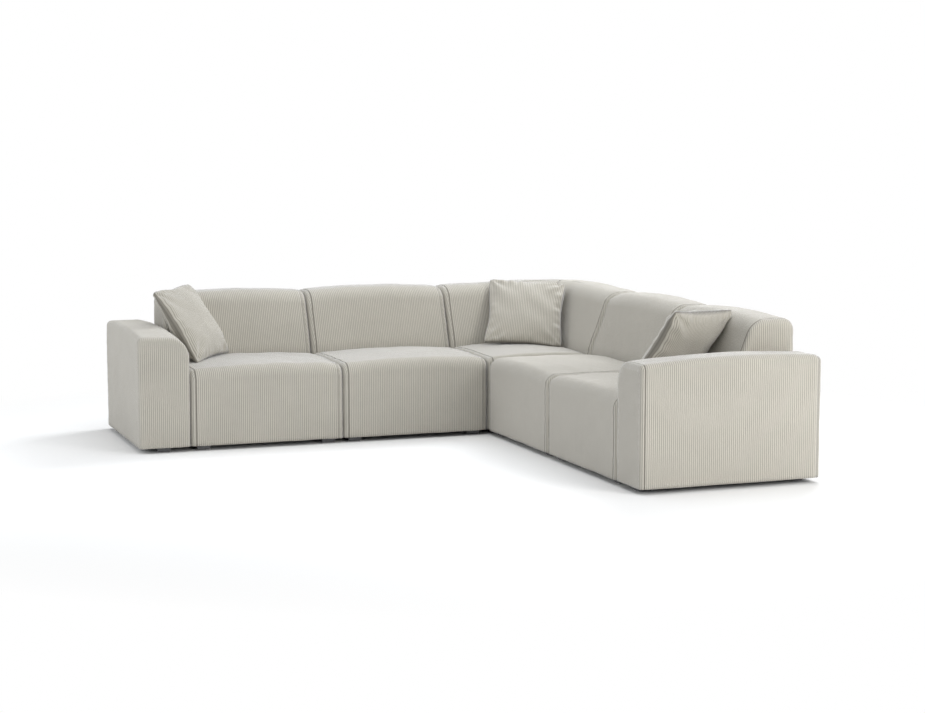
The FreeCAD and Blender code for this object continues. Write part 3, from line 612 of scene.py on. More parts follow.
class Value:
    """A socket's value in a node tree; arithmetic on it adds Math nodes."""

    def __init__(self, nodes: Nodes, socket: bpy.types.NodeSocket) -> None:
        """Wraps a socket of a tree."""
        self.nodes = nodes
        self.socket = socket

    def maths(self, operation: str, *others: Value | float, first: Value | float | None = None) -> Value:
        """Adds one Math node.

        Args:
            operation: the node's operation.
            others: what follows the first operand.
            first: the first operand, where it isn't this value.

        Returns:
            The result.
        """
        operands = [self if first is None else first, *others]
        node = self.nodes.add("ShaderNodeMath", {"operation": operation}, dict(enumerate(operands)))
        return Value(self.nodes, node.outputs[0])

    def __add__(self, other: Value | float) -> Value:
        """This plus the other."""
        return self.maths("ADD", other)

    __radd__ = __add__

    def __sub__(self, other: Value | float) -> Value:
        """This less the other."""
        return self.maths("SUBTRACT", other)

    def __rsub__(self, other: Value | float) -> Value:
        """The other less this."""
        return self.maths("SUBTRACT", self, first=other)

    def __mul__(self, other: Value | float) -> Value:
        """This times the other."""
        return self.maths("MULTIPLY", other)

    def __truediv__(self, other: Value | float) -> Value:
        """This over the other."""
        return self.maths("DIVIDE", other)

    def __pow__(self, other: Value | float) -> Value:
        """This to a power."""
        return self.maths("POWER", other)

    def __abs__(self) -> Value:
        """This without its sign."""
        return self.maths("ABSOLUTE")

    def fraction(self) -> Value:
        """What is left of this over whole numbers."""
        return self.maths("FRACT")

    def zigzag(self) -> Value:
        """1 at whole numbers, falling to 0 half way between them."""
        return abs(self.fraction() * 2.0 - 1.0)

    def clipped(self) -> Value:
        """This kept from 0 to 1."""
        return self.maths("MAXIMUM", 0.0).maths("MINIMUM", 1.0)


Colour = tuple[float, float, float, float]


class Nodes:
    """A node tree, with one method that adds any node."""

    def __init__(self, tree: bpy.types.NodeTree) -> None:
        """Clears the tree and holds it."""
        self.tree = tree
        tree.nodes.clear()

    def add(self, kind: str, settings: dict | None = None, inputs: dict | None = None) -> bpy.types.Node:
        """Adds a node.

        Args:
            kind: the node's type.
            settings: its properties, set before its sockets.
            inputs: socket name or number to a value, a socket, or a Value.

        Returns:
            The node.
        """
        node = self.tree.nodes.new(kind)
        for name, value in (settings or {}).items():
            setattr(node, name, value)
        for name, value in (inputs or {}).items():
            socket = node.inputs[name]
            if isinstance(value, Value):
                value = value.socket
            if isinstance(value, bpy.types.NodeSocket):
                self.tree.links.new(value, socket)
            else:
                socket.default_value = value
        return node

    def noise(self, vector: bpy.types.NodeSocket, scale: float, detail: float = 2.0,
              rough: float = 0.5) -> Value:
        """Noise over a vector, 0 to 1.

        Args:
            vector: where it is read.
            scale: bumps per metre, about.
            detail: the finer layers.
            rough: how strong the finer layers are.

        Returns:
            The noise.
        """
        inputs = {"Vector": vector, "Scale": scale, "Detail": detail, "Roughness": rough}
        return Value(self, self.add("ShaderNodeTexNoise", {}, inputs).outputs[0])

    def mixed(self, factor: Value | float, first: Colour | bpy.types.NodeSocket,
              second: Colour | bpy.types.NodeSocket, blend: str = "MIX") -> bpy.types.NodeSocket:
        """Mixes two colours.

        Args:
            factor: 0 for the first, 1 for the second.
            first: a colour or a socket.
            second: a colour or a socket.
            blend: how they mix.

        Returns:
            The mixed colour's socket.
        """
        settings = {"data_type": "RGBA", "blend_type": blend, "clamp_factor": True}
        return self.add("ShaderNodeMix", settings, {0: factor, 6: first, 7: second}).outputs[2]

    def grey(self, value: Value) -> bpy.types.NodeSocket:
        """A grey colour of that value."""
        return self.add("ShaderNodeCombineColor", {}, {0: value, 1: value, 2: value}).outputs[0]

    def place(self) -> bpy.types.NodeSocket:
        """The place on the object, in metres."""
        return self.add("ShaderNodeTexCoord").outputs["Object"]

    def numbers(self, vector: bpy.types.NodeSocket) -> list[Value]:
        """The vector's three numbers."""
        node = self.add("ShaderNodeSeparateXYZ", {}, {0: vector})
        return [Value(self, socket) for socket in node.outputs]

    def shaded(self, colour: Colour | bpy.types.NodeSocket, shade: Value) -> bpy.types.NodeSocket:
        """The colour times a grey."""
        return self.mixed(1.0, colour, self.grey(shade), "MULTIPLY")

    def stretched(self, vector: bpy.types.NodeSocket,
                  scale: tuple[float, float, float]) -> bpy.types.NodeSocket:
        """The vector scaled along each axis."""
        return self.add("ShaderNodeMapping", {}, {"Vector": vector, "Scale": scale}).outputs[0]

    def bump(self, height: Value, distance: float) -> bpy.types.NodeSocket:
        """A normal for a height in shares of the distance, in metres."""
        inputs = {"Strength": 1.0, "Distance": distance, "Height": height}
        return self.add("ShaderNodeBump", {}, inputs).outputs[0]

    def surface(self, inputs: dict) -> None:
        """Ends the tree in a Principled shader with these inputs."""
        shader = self.add("ShaderNodeBsdfPrincipled", {}, inputs)
        self.add("ShaderNodeOutputMaterial", {}, {"Surface": shader.outputs[0]})


@dataclass(frozen=True)
class Finish:
    """A named material of the sofa."""

    name: str

    def material(self) -> bpy.types.Material:
        """The material, made once."""
        found = bpy.data.materials.get(self.name)
        if found:
            return found
        made = bpy.data.materials.new(self.name)
        made.use_nodes = True
        self.fill(Nodes(made.node_tree))
        return made

    def fill(self, nodes: Nodes) -> None:
        """Adds the material's nodes."""
        raise NotImplementedError


@dataclass(frozen=True)
class Corduroy(Finish):
    """Pile cloth in raised ribs, which follow the piece's rib map.

    Attributes:
        crest: colour of a rib's crest.
        groove: painted shade between ribs, darker than the crest.
        shade: painted shade down in a seam, at the cushions' sewn rims and along the corner's mitre.
        height: how far the pile stands out, in metres.
        pile: tufts per metre, about.
        brushing: brushed patches per metre, about.
        wear: worn patches per metre, about.
    """

    crest: Colour = (0.56, 0.535, 0.475, 1.0)
    groove: Colour = (0.23, 0.213, 0.18, 1.0)
    shade: Colour = (0.10, 0.09, 0.075, 1.0)
    height: float = 0.0012
    pile: float = 1400.0
    brushing: float = 5.0
    wear: float = 34.0

    def fill(self, nodes: Nodes) -> None:
        """Ribs with rounded crests, painted shade in the grooves between them and down the seams, a brushed
        pile and slight changes of tone.
        """
        ribs = nodes.add("ShaderNodeUVMap", {"uv_map": RIB_MAP}).outputs[0]
        across = nodes.numbers(ribs)[0]
        place = nodes.place()
        crest = 1.0 - (across / RIB_PITCH).zigzag() ** 3.0
        pile = nodes.noise(nodes.stretched(ribs, (1.0, 0.4, 1.0)), self.pile, 3.0, 0.6)
        brushed = nodes.noise(place, self.brushing, 3.0, 0.55)
        worn = nodes.noise(place, self.wear, 2.0)
        # Painted shade: the grooves between the ribs take the darker groove colour, the crests the cloth's
        # own colour
        cloth = nodes.mixed((crest * 0.9 + pile * 0.3 - 0.1).clipped(), self.groove, self.crest)
        # Painted shade: the cloth darkens towards the shade colour down the seams
        seam = Value(nodes, nodes.add("ShaderNodeAttribute", {"attribute_name": SEAM_SHADE_MARK}).outputs["Fac"])
        cloth = nodes.mixed(seam * 0.8, cloth, self.shade)
        shade = 0.90 + brushed * 0.12 + worn * 0.06 + (pile - 0.5) * 0.08
        nodes.surface({
            "Base Color": nodes.shaded(cloth, shade),
            "Roughness": 0.88,
            "Normal": nodes.bump(crest + (pile - 0.5) * 0.25, self.height),
            "Specular IOR Level": 0.15,
            "Sheen Weight": 0.8,
            "Sheen Roughness": 0.35,
            "Sheen Tint": (0.94, 0.95, 1.0, 1.0),
        })


@dataclass(frozen=True)
class Timber(Finish):
    """Sawn wood with growth lines along one axis.

    Attributes:
        light: colour between the lines.
        dark: colour of the lines.
        scale: lines per metre, about.
    """

    light: Colour = (0.62, 0.44, 0.26, 1.0)
    dark: Colour = (0.42, 0.27, 0.14, 1.0)
    scale: float = 60.0

    def fill(self, nodes: Nodes) -> None:
        """Long streaks with fine pores."""
        place = nodes.place()
        streaks = nodes.noise(nodes.stretched(place, (1.0, 1.0, 0.08)), self.scale, 4.0, 0.6)
        pores = nodes.noise(nodes.stretched(place, (1.0, 1.0, 0.04)), 900.0, 2.0)
        wood = nodes.mixed((streaks * 1.4 - 0.2).clipped(), self.light, self.dark)
        nodes.surface({
            "Base Color": nodes.shaded(wood, 0.9 + pores * 0.16),
            "Roughness": 0.62,
            "Normal": nodes.bump(pores, 0.0002),
        })


@dataclass(frozen=True)
class Ply(Finish):
    """Plywood, its layers seen on the edges.

    Attributes:
        light: one layer's colour.
        dark: the next layer's colour.
        layer: the layers' thickness, in metres.
    """

    light: Colour = (0.70, 0.55, 0.36, 1.0)
    dark: Colour = (0.50, 0.36, 0.21, 1.0)
    layer: float = 0.0045

    def fill(self, nodes: Nodes) -> None:
        """Streaked faces over alternating layers."""
        place = nodes.place()
        x, y, _ = nodes.numbers(place)
        layers = (((x + y) / self.layer).zigzag() * 4.0 - 1.5).clipped()
        streaks = nodes.noise(nodes.stretched(place, (1.0, 1.0, 0.1)), 45.0, 3.0)
        wood = nodes.mixed(layers * 0.35 + streaks * 0.4, self.light, self.dark)
        nodes.surface({"Base Color": wood, "Roughness": 0.6, "Normal": nodes.bump(streaks, 0.0003)})


@dataclass(frozen=True)
class Woven(Finish):
    """A plain weave, as of webbing or base cloth.

    Attributes:
        thread: the threads' colour.
        gap: painted shade between threads, where the weave dips.
        pitch: thread to thread, in metres.
    """

    thread: Colour = (0.06, 0.06, 0.065, 1.0)
    gap: Colour = (0.015, 0.015, 0.016, 1.0)
    pitch: float = 0.0022

    def fill(self, nodes: Nodes) -> None:
        """Two sets of threads with painted shade between them, worn a little."""
        place = nodes.place()
        x, y, _ = nodes.numbers(place)
        weave = (x / self.pitch).zigzag().maths("MAXIMUM", (y / self.pitch).zigzag())
        wear = nodes.noise(place, 25.0, 3.0)
        # Painted shade: the dips between threads take the darker gap colour
        cloth = nodes.mixed(weave ** 2.0, self.thread, self.gap)
        nodes.surface({
            "Base Color": nodes.shaded(cloth, 0.85 + wear * 0.3),
            "Roughness": 0.9,
            "Normal": nodes.bump(1.0 - weave, 0.0004),
            "Specular IOR Level": 0.2,
        })


@dataclass(frozen=True)
class Moulded(Finish):
    """Moulded plastic or painted steel.

    Attributes:
        colour: its colour.
        roughness: its roughness.
        grain: height of its texture, in metres.
    """

    colour: Colour = (0.03, 0.03, 0.032, 1.0)
    roughness: float = 0.5
    grain: float = 0.0001

    def fill(self, nodes: Nodes) -> None:
        """An even colour with a fine texture."""
        place = nodes.place()
        fine = nodes.noise(place, 1200.0, 2.0)
        scuff = nodes.noise(place, 30.0, 4.0, 0.6)
        nodes.surface({
            "Base Color": nodes.shaded(self.colour, 0.85 + scuff * 0.3),
            "Roughness": (self.roughness + (scuff - 0.5) * 0.25).clipped(),
            "Normal": nodes.bump(fine, self.grain),
        })


CORDUROY = Corduroy("pale_ribbed_corduroy")
FRAME_FINISHES = {
    "timber": Timber("sawn_beech_rails"),
    "plywood": Ply("birch_plywood_ends"),
    "webbing": Woven("black_elastic_webbing", pitch=0.003),
    # Painted light: the base cloth and the feet are lightened to grey to stand in for floor bounce light in
    # the shadow gap under the hem
    "base_cloth": Woven("base_cloth_grey_for_bounce_light", (0.26, 0.26, 0.26, 1.0), (0.16, 0.16, 0.16, 1.0), 0.0012),
    "feet": Moulded("block_feet_grey_for_bounce_light", (0.14, 0.14, 0.145, 1.0)),
    "steel": Moulded("black_painted_hooks", (0.05, 0.05, 0.052, 1.0), 0.38, 0.00005),
}


# Profiles of the units

ARM_ROUNDS = (0.018, 0.036)

# The corner's back, in metres but for the share of its depth that a leg is carried past the mitre
PAST_MITRE = 0.72
NEAR_MITRE = 0.05
MITRE_WIDTH = 0.006
# The width of the painted shade along the mitre
MITRE_SHADE_WIDTH = 0.0035
CORNER_FOLD = 0.0022


def rise(place: float, start: float, stop: float) -> float:
    """0 at both ends and 1 half way between, along a parabola."""
    half = 0.5 * (stop - start)
    return 1.0 - ((place - start - half) / half) ** 2


@dataclass(frozen=True)
class SeatShape:
    """A seat's section.

    Attributes:
        edge: height at its corners.
        across: how far its middle is higher, across the unit.
        along: how far its middle is higher, front to back.
        reach: rounding of the top's middle.
        front: rounding of the front edge.
        rear: rounding of the rear edge.
    """

    edge: float = 0.423
    across: float = 0.017
    along: float = 0.008
    reach: float = 0.216
    front: float = 0.062
    rear: float = 0.030

    def section(self, share: float) -> np.ndarray:
        """The outline for a share of the crown."""
        top = self.edge + self.across * share
        return np.array([
            (0.0, HEM, 0.0),
            (0.0, top, self.front),
            (0.5 * SEAT_DEPTH, top + self.along, self.reach),
            (SEAT_DEPTH, top, self.rear),
            (SEAT_DEPTH, HEM, 0.0),
        ])


@dataclass(frozen=True)
class BackShape:
    """A back's section.

    Attributes:
        edge: height at its ends.
        crown: how far its middle is higher.
        bend: height where it starts to lean.
        lean: how far it leans by its top.
        swell: how far its middle stands forward.
        ridge_rise: how far the top's ridge is higher.
        ridge_inset: from the rear to the ridge.
        ridge_reach: rounding of the ridge.
        front: rounding of the front top edge.
        rear: rounding of the rear top edge.
        bend_reach: rounding of the bend.
    """

    edge: float = 0.756
    crown: float = 0.017
    bend: float = 0.432
    lean: float = 0.122
    swell: float = 0.012
    ridge_rise: float = 0.006
    ridge_inset: float = 0.105
    ridge_reach: float = 0.045
    front: float = 0.070
    rear: float = 0.050
    bend_reach: float = 0.060

    def section(self, share: float) -> np.ndarray:
        """The outline for a share of the crown."""
        top = self.edge + self.crown * share
        slope = self.lean / (self.edge - self.bend)
        front_top = BACK_FOOT + slope * (top - self.bend) - self.swell * share
        return np.array([
            (BACK_FOOT, HEM, 0.0),
            (BACK_FOOT, self.bend, self.bend_reach),
            (front_top, top, self.front),
            (UNIT_DEPTH - self.ridge_inset, top + self.ridge_rise, self.ridge_reach),
            (UNIT_DEPTH, top, self.rear),
            (UNIT_DEPTH, HEM, 0.0),
        ])


@dataclass(frozen=True)
class ArmShape:
    """An arm's section.

    Attributes:
        front: height at its front.
        rear: height at its rear.
        crown: how far its middle is higher.
        outer_round: rounding of the outer top edge.
        inner_fall: how far the inner edge is lower.
        inner_run: width of the inner slope.
        inner_reach: rounding of the inner slope's ends.
        top_fall: how far the top slopes inward.
    """

    front: float = 0.602
    rear: float = 0.612
    crown: float = 0.020
    outer_round: float = 0.030
    inner_fall: float = 0.068
    inner_run: float = 0.062
    inner_reach: float = 0.042
    top_fall: float = 0.002

    def section(self, place: float) -> np.ndarray:
        """The outline at a place from the front."""
        wide = ARM_WIDTH - 0.5 * UNIT_GAP
        level = self.front + (self.rear - self.front) * place / UNIT_DEPTH
        top = level + self.crown * rise(place, 0.0, UNIT_DEPTH)
        return np.array([
            (0.0, HEM, 0.0),
            (0.0, top, self.outer_round),
            (wide - self.inner_run, top - self.top_fall, self.inner_reach),
            (wide, top - self.inner_fall, self.inner_reach),
            (wide, HEM, 0.0),
        ])


def crowned(shape: SeatShape | BackShape, low: float, high: float) -> Profile:
    """The shape's outline over a unit, its crown half way between the ends."""
    return lambda place: shape.section(rise(place, low, high))


def dress(piece: bpy.types.Object, body: str, stem: str, inside: str) -> None:
    """Hangs a stuffed piece on its body's empty and hides the modelled cover and filling that it stands in
    for.

    Args:
        piece: the piece.
        body: the body it moves with.
        stem: how the names of the modelled nodes it stands for begin.
        inside: how the name of the node inside the cover ends.
    """
    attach(piece, body)
    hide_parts(stem + "_cover", stem + inside)


@dataclass(frozen=True)
class Member:
    """What stands in one of the runs.

    Attributes:
        name: its name in the model.
        turn: how it lies.
        start: where its u is 0.
        seed: fixes its folds.
    """

    name: str
    turn: Turn
    start: float
    seed: int

    def add(self, skin: Skin, stem: str, fill: float, ending: str = "") -> None:
        """Makes a stuffed piece in the member's place, for the modelled cover and foam."""
        made = skin.built(stem + ending, CORDUROY, placed(self.turn, self.start))
        dress(made, "sofa", stem, "_foam")


class Unit(Member):
    """A straight seat unit: seat and back."""

    def build(self) -> None:
        """Builds the seat and the back."""
        low, high = 0.5 * UNIT_GAP, SEAT_WIDTH - 0.5 * UNIT_GAP
        parts = (("_seat", SeatShape(), 0, SEAT_FILL), ("_back", BackShape(), 30, BACK_FILL))
        for ending, shape, shift, fill in parts:
            block = Block(crowned(shape, low, high), low, high, self.seed + shift)
            self.add(block.skin(), self.name + ending, fill)


class Arm(Member):
    """A block arm."""

    def build(self) -> None:
        """Builds the arm."""
        block = Block(ArmShape().section, 0.0, UNIT_DEPTH, self.seed, ARM_ROUNDS, Seam(inset=0.020),
                      fold=0.0009, pucker=0.0007, bulge=0.004, order=(1, 0, 2))
        self.add(block.skin(), self.name, SEAT_FILL, "_cushion")


class CornerUnit(Member):
    """The corner: a square seat and a back that turns round it."""

    def build(self) -> None:
        """Builds the seat and the turned back."""
        low, high = 0.5 * UNIT_GAP, SEAT_DEPTH
        profile = crowned(SeatShape(front=0.026), low, high)
        self.add(Block(profile, low, high, self.seed).skin(), "corner_seat", SEAT_FILL)
        back = self.mirrored(self.leg().built("corner_back", CORDUROY), placed(self.turn, self.start))
        dress(back, "sofa", "corner_back", "_foam")

    def leg(self) -> Skin:
        """One leg of the back, carried a little past the mitre."""
        low, seam, shape = 0.5 * UNIT_GAP, Seam(), BackShape(swell=0.0)
        past = BACK_FOOT + PAST_MITRE * (UNIT_DEPTH - BACK_FOOT)

        def section(place: float) -> np.ndarray:
            """The outline at a place, the same all the way past the mitre's foot."""
            return shape.section(rise(min(place, BACK_FOOT), low, 2.0 * BACK_FOOT - low))

        stations = round_end(low, END_ROUND) + rib_stations(low + END_ROUND, past)
        rings = Rings.walked(section, stations, BACK_FOOT)
        across, along = rings.places(), rings.lengths()[None, :-1]
        beyond = np.maximum(across - BACK_FOOT, 0.0)
        radius = rings.drawn[..., 0] - BACK_FOOT
        bent = np.sqrt(np.maximum(radius ** 2 - beyond ** 2, 0.0))
        line = beyond * math.sqrt(2.0)
        depth = np.where(radius > line, bent, beyond - math.sqrt(2.0) * (line - radius))
        grid = np.stack([across + 0.0 * radius, BACK_FOOT + depth, rings.drawn[..., 1]], axis=-1)
        off_end = across - low
        off_mitre = np.abs(across - BACK_FOOT - depth) / math.sqrt(2.0)
        off_mitre = np.where(across > BACK_FOOT - NEAR_MITRE, off_mitre, np.inf)
        lift = CORNER_FOLD * waves(self.seed, across, along, SLOW_FOLD)
        lift = lift + seam.lift(off_end, across, along, CORNER_FOLD, self.seed + 2)
        lift = lift - seam.depth * hill(off_mitre, MITRE_WIDTH)
        moved = grid + outward(grid) * lift[..., None]
        skin = Skin()
        # Painted shade down the end seam and along the mitre
        skin.add_points(moved, np.maximum(seam.mark(off_end), hill(off_mitre, MITRE_SHADE_WIDTH)))
        rings.add_wrap(skin)
        Panel(self.seed + 7).close(skin, moved[0], rings.drawn[0], 0, -1.0)
        return skin

    @staticmethod
    def mirrored(made: bpy.types.Object, move: Map) -> bpy.types.Object:
        """Cuts the leg at the mitre and adds its mirror image.

        Args:
            made: the leg.
            move: the move into the sofa's frame.

        Returns:
            The whole back, closed.
        """
        work = bmesh.new()
        work.from_mesh(made.data)
        everything = list(work.verts) + list(work.edges) + list(work.faces)
        bmesh.ops.bisect_plane(work, geom=everything, dist=1e-6, plane_co=Vector((BACK_FOOT, BACK_FOOT, 0.0)),
                               plane_no=Vector((1.0, -1.0, 0.0)).normalized(), clear_outer=True)
        copy = bmesh.ops.duplicate(work, geom=list(work.verts) + list(work.edges) + list(work.faces))
        for item in copy["geom"]:
            if isinstance(item, bmesh.types.BMVert):
                item.co = Vector((item.co.y, item.co.x, item.co.z))
        bmesh.ops.remove_doubles(work, verts=work.verts, dist=2e-5)
        LOG.info("corner back: %d open edges", sum(1 for edge in work.edges if len(edge.link_faces) != 2))
        for vertex in work.verts:
            vertex.co = Vector(move(np.array(vertex.co)))
        write_back(work, made.data)
        return made


# Scatter cushions, with lengths in metres and the rim's fade and the painted shade at the sewn rim as shares
# of half the width

PILLOW_ROWS = 64
RIM_FADE = 0.05
RIM_SHADE_WIDTH = 0.016
DENT_HEIGHT = 0.004
DENT_LENGTH = 0.16
GATHER_HEIGHT = 0.0050
GATHER_LENGTH = 0.045
PLEAT_HEIGHT = 0.0045

# The cushions' other shares: how unevenly the sides draw in, the corners' tuck, and the crown's two powers
UNEVENNESS = 0.35
CORNER_TUCK = 0.055
CROWN_FLATNESS = 2.4
CROWN_ROUNDNESS = 0.50

# Where gathers and pleats are strongest, from the side or the corner, and how far they spread
GATHER_INSET = 0.10
GATHER_SPREAD = 0.11
PLEAT_INSET = 0.35
PLEAT_SPREAD = 0.3
PLEAT_TURNS = 9.0


@dataclass(frozen=True)
class Scatter:
    """A square scatter cushion, shaped flat and then set down.

    Attributes:
        name: its name in the model.
        centre: where its middle lies.
        heading: the way it faces, in degrees.
        lean: how far it leans, in degrees.
        roll: how far it is turned in its own plane, in degrees.
        seed: fixes its folds.
        half: half its width.
        swell: half its thickness.
        dip: how far its sides draw in.
    """

    name: str
    centre: tuple[float, float, float]
    heading: float
    lean: float
    roll: float
    seed: int
    half: float = 0.232
    swell: float = 0.076
    dip: float = 0.020

    def pose(self) -> np.ndarray:
        """The move from the flat cushion to its place."""
        turn = Matrix.Rotation(math.radians(self.heading), 4, "Z")
        tilt = Matrix.Rotation(math.radians(90.0 - self.lean), 4, "Y")
        roll = Matrix.Rotation(math.radians(self.roll + 90.0), 4, "Z")
        return np.array(Matrix.Translation(Vector(self.centre)) @ turn @ tilt @ roll)

    def build(self) -> None:
        """Builds the cushion as two ribbed sheets sewn at the edge."""
        columns = int(2.0 * self.half * RIB_STEPS / RIB_PITCH) // 2 * 2
        sides = [np.linspace(-1.0, 1.0, count + 1) for count in (columns, PILLOW_ROWS)]
        across, along = np.meshgrid(*sides, indexing="ij")
        x, y = self.outline(across, along)
        off_rim = np.minimum(1.0 - np.abs(across), 1.0 - np.abs(along))
        # Painted shade along the sewn rim, where the two sheets pinch together
        rim, rim_shade = off_rim <= 1e-9, hill(off_rim, RIM_SHADE_WIDTH)
        skin = Skin()
        upper = self.height(across, along, x, y, 0)
        skin.add_points(np.stack([x, y, np.where(rim, 0.0, upper)], axis=-1), rim_shade)
        below = np.stack([x, y, -self.height(across, along, x, y, 1)], axis=-1)
        first = skin.add_points(below[~rim], rim_shade[~rim])
        under = {int(k): first + n for n, k in enumerate(np.flatnonzero(~rim))}
        flat = np.stack([across, along], axis=-1).reshape(-1, 2) * self.half
        width = PILLOW_ROWS + 1
        for i in range(columns):
            for j in range(PILLOW_ROWS):
                quad = (i * width + j, (i + 1) * width + j, (i + 1) * width + j + 1, i * width + j + 1)
                ribs = [tuple(flat[k]) for k in quad]
                skin.add_face(quad, ribs)
                skin.add_face([under.get(k, k) for k in reversed(quad)], ribs[::-1])
        pose = self.pose()
        made = skin.built(self.name + "_pillow", CORDUROY,
                          lambda points: points @ pose[:3, :3].T + pose[:3, 3])
        dress(made, self.name, self.name, "_filling")

    def outline(self, across: np.ndarray, along: np.ndarray) -> tuple[np.ndarray, np.ndarray]:
        """The flat cushion's points, its sides drawn in unevenly and its corners tucked."""
        uneven = [1.0 + UNEVENNESS * waves(self.seed + k, across * 0.2, along * 0.2, 0.3) for k in (21, 22)]
        tuck = 1.0 - CORNER_TUCK * np.abs(across * along) ** 7
        x = across * (self.half - self.dip * (1.0 - along ** 2) * uneven[0]) * tuck
        y = along * (self.half - self.dip * (1.0 - across ** 2) * uneven[1]) * tuck
        return x, y

    def height(self, across: np.ndarray, along: np.ndarray, x: np.ndarray, y: np.ndarray,
               face: int) -> np.ndarray:
        """How far a face stands off the middle plane.

        Args:
            across: places over the width, -1 to 1.
            along: places over the height, -1 to 1.
            x: the same places in the drawn-in outline, in metres.
            y: the same, the other way.
            face: 0 for the upper face and 1 for the lower.

        Returns:
            The height of each place.
        """
        edge = np.clip(np.minimum(1.0 - np.abs(across), 1.0 - np.abs(along)) / RIM_FADE, 0.0, 1.0)
        slopes = [1.0 - np.abs(place) ** CROWN_FLATNESS for place in (across, along)]
        crown = self.swell * (slopes[0] * slopes[1]) ** CROWN_ROUNDNESS
        ribs = RIB_HEIGHT * (wale(across * self.half) - RIB_MIDDLE)
        dents = DENT_HEIGHT * waves(self.seed + 5 * face, x, y, DENT_LENGTH)
        folds = self.pleats(across, along, 11 + face) + self.gathers(across, along)
        return crown + (ribs + dents + folds) * edge

    def gathers(self, across: np.ndarray, along: np.ndarray) -> np.ndarray:
        """Short folds that run in from the sewn sides."""
        total = np.zeros_like(across)
        sides = ((1.0 - np.abs(across), along + np.sign(across) * 3.0),
                 (1.0 - np.abs(along), across + np.sign(along) * 5.0))
        for k, (off, place) in enumerate(sides):
            folds = waves(self.seed + 31 + k, place * self.half, 0.0 * place, GATHER_LENGTH, 6)
            total += GATHER_HEIGHT * folds * hill(off - GATHER_INSET, GATHER_SPREAD)
        return total

    def pleats(self, across: np.ndarray, along: np.ndarray, draw: int) -> np.ndarray:
        """Pleats that run from the corners into the cushion."""
        total = np.zeros_like(across)
        chance = np.random.default_rng(self.seed + draw)
        for side in (-1.0, 1.0):
            for end in (-1.0, 1.0):
                off_x, off_y = 1.0 - side * across, 1.0 - end * along
                angle = np.arctan2(off_y, np.maximum(off_x, 1e-6))
                shift = chance.uniform(0.0, math.tau)
                fade = hill(np.hypot(off_x, off_y) - PLEAT_INSET, PLEAT_SPREAD)
                total += PLEAT_HEIGHT * np.sin(angle * PLEAT_TURNS + shift) * fade
        return total


# Room

SKY = 0.5
WARM = (1.0, 0.99, 0.97)
COOL = (0.97, 0.985, 1.0)
LAMPS = (
    ("right", (2.7, -5.0, 1.9), (0.9, -1.2, 0.4), 2.0, 125.0, WARM),
    ("left", (-4.2, 0.6, 1.8), (-1.44, 0.9, 0.3), 1.6, 33.0, COOL),
    ("top", (0.2, -0.2, 5.0), (0.2, 0.0, 0.0), 4.5, 105.0, COOL),
    ("rear", (3.8, 3.2, 4.5), (0.8, 0.0, 0.4), 3.0, 250.0, COOL),
)
FLOOR_WHITE_FROM = 2.3
FLOOR_WHITE_TO = 3.4
FLOOR_REACH = 60.0
FLOOR_COLOUR = (0.93, 0.93, 0.93, 1.0)
WHITE = (1.0, 1.0, 1.0, 1.0)
SENSOR_WIDTH = 36.0


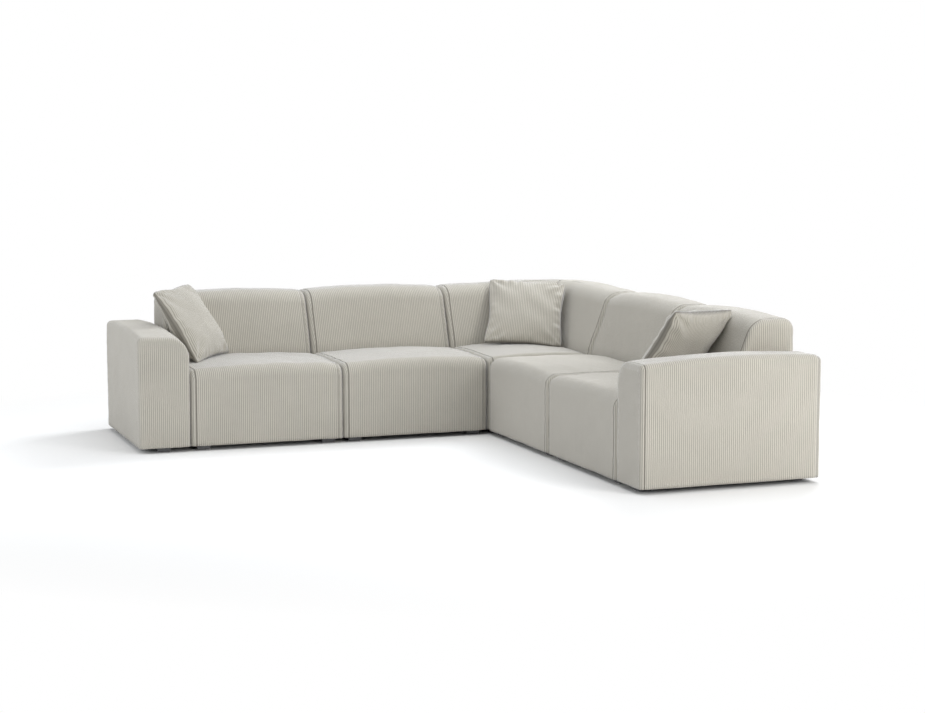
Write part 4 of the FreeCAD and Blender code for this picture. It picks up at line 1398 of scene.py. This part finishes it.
@dataclass(frozen=True)
class Studio:
    """The camera, the floor and the light.

    Attributes:
        eye: the camera's place.
        yaw: its turn from +Y towards +X, in degrees.
        pitch: how far it looks down, in degrees.
        lens: its focal length, in millimetres.
    """

    eye: tuple[float, float, float] = (-3.310, -9.318, 1.662)
    yaw: float = 20.402
    pitch: float = 6.6646
    lens: float = 75.06

    def build(self) -> None:
        """Sets up the whole room."""
        self.camera()
        self.floor()
        self.sky()
        self.lamps()
        bpy.context.scene.view_settings.view_transform = "Standard"

    def camera(self) -> None:
        """The photo's view."""
        data = bpy.data.cameras.new("camera")
        data.lens = self.lens
        data.sensor_width = SENSOR_WIDTH
        made = bpy.data.objects.new("camera", data)
        made.location = self.eye
        made.rotation_euler = Euler((math.radians(90.0 - self.pitch), 0.0, math.radians(-self.yaw)), "XYZ")
        bpy.context.scene.collection.objects.link(made)
        bpy.context.scene.camera = made

    @staticmethod
    def floor() -> None:
        """A plain white floor that takes the shadow."""
        mesh = bpy.data.meshes.new("floor")
        corners = [(x * FLOOR_REACH, y * FLOOR_REACH, 0.0) for x, y in ((-1, -1), (1, -1), (1, 1), (-1, 1))]
        mesh.from_pydata(corners, [], [(0, 1, 2, 3)])
        material = bpy.data.materials.new("studio_floor")
        material.use_nodes = True
        nodes = Nodes(material.node_tree)
        place = nodes.place()
        length = nodes.add("ShaderNodeVectorMath", {"operation": "LENGTH"}, {0: place})
        far = Value(nodes, length.outputs["Value"])
        fade = ((far - FLOOR_WHITE_FROM) / (FLOOR_WHITE_TO - FLOOR_WHITE_FROM)).clipped()
        seen = nodes.add("ShaderNodeLightPath").outputs["Is Camera Ray"]
        plain = nodes.add("ShaderNodeBsdfDiffuse", {}, {"Color": FLOOR_COLOUR})
        white = nodes.add("ShaderNodeEmission", {}, {"Color": WHITE, "Strength": 1.0})
        mix = nodes.add("ShaderNodeMixShader", {}, {0: fade * Value(nodes, seen), 1: plain.outputs[0],
                                                    2: white.outputs[0]})
        nodes.add("ShaderNodeOutputMaterial", {}, {"Surface": mix.outputs[0]})
        mesh.materials.append(material)
        made = bpy.data.objects.new("floor", mesh)
        bpy.context.scene.collection.objects.link(made)

    @staticmethod
    def sky() -> None:
        """A white backdrop that lights the sofa softly."""
        world = bpy.data.worlds.new("studio")
        bpy.context.scene.world = world
        world.use_nodes = True
        nodes = Nodes(world.node_tree)
        seen = nodes.add("ShaderNodeLightPath").outputs["Is Camera Ray"]
        light = nodes.add("ShaderNodeBackground", {}, {"Color": (*COOL, 1.0), "Strength": SKY})
        white = nodes.add("ShaderNodeBackground", {}, {"Color": WHITE, "Strength": 1.0})
        mix = nodes.add("ShaderNodeMixShader", {}, {0: seen, 1: light.outputs[0], 2: white.outputs[0]})
        nodes.add("ShaderNodeOutputWorld", {}, {"Surface": mix.outputs[0]})

    @staticmethod
    def lamps() -> None:
        """Large soft lamps around and above."""
        for name, place, aim, size, power, colour in LAMPS:
            data = bpy.data.lights.new(name, "AREA")
            data.shape = "SQUARE"
            data.size = size
            data.energy = power
            data.color = colour
            made = bpy.data.objects.new(name, data)
            made.location = place
            made.rotation_euler = (Vector(place) - Vector(aim)).to_track_quat("Z", "Y").to_euler()
            bpy.context.scene.collection.objects.link(made)


def dress_frame() -> None:
    """Gives the modelled parts that stay in sight their own finishes."""
    for part in frame["record"]["subparts"]:
        finish = FRAME_FINISHES.get(part["material_slot"])
        if finish is None:
            continue
        shown = frame["nodes"][part["node"]]
        if not shown.material_slots:
            shown.data.materials.append(finish.material())
        for place in shown.material_slots:
            place.material = finish.material()


PARTS = (
    Unit("left_end", Turn.ALONG_X, INNER - 2.0 * SEAT_WIDTH, 3),
    Unit("left_middle", Turn.ALONG_X, INNER - SEAT_WIDTH, 17),
    Unit("right_middle", Turn.ALONG_Y, INNER, 41),
    Unit("right_end", Turn.ALONG_Y, INNER - SEAT_WIDTH, 59),
    Arm("left_arm", Turn.ALONG_X, -HALF, 101),
    Arm("right_arm", Turn.OVER_Y, -HALF, 131),
    CornerUnit("corner", Turn.ALONG_X, INNER, 90),
    Scatter("left_cushion", (-1.0480, 0.9903, 0.62465), -37.0, 33.0, 2.0, 201),
    Scatter("corner_cushion", (0.9210, 1.0116, 0.6131), -111.0, 40.0, -4.5, 231),
    Scatter("right_cushion", (0.9606, -0.9080, 0.6194), 113.0, 36.0, 3.0, 261),
)


def main() -> None:
    """Builds the sofa's looks around the frame."""
    logging.basicConfig(level=logging.INFO, format="%(message)s")
    for part in PARTS:
        part.build()
        LOG.info("built %s", part.name)
    dress_frame()
    Studio().build()


if __name__ == "__main__":
    main()
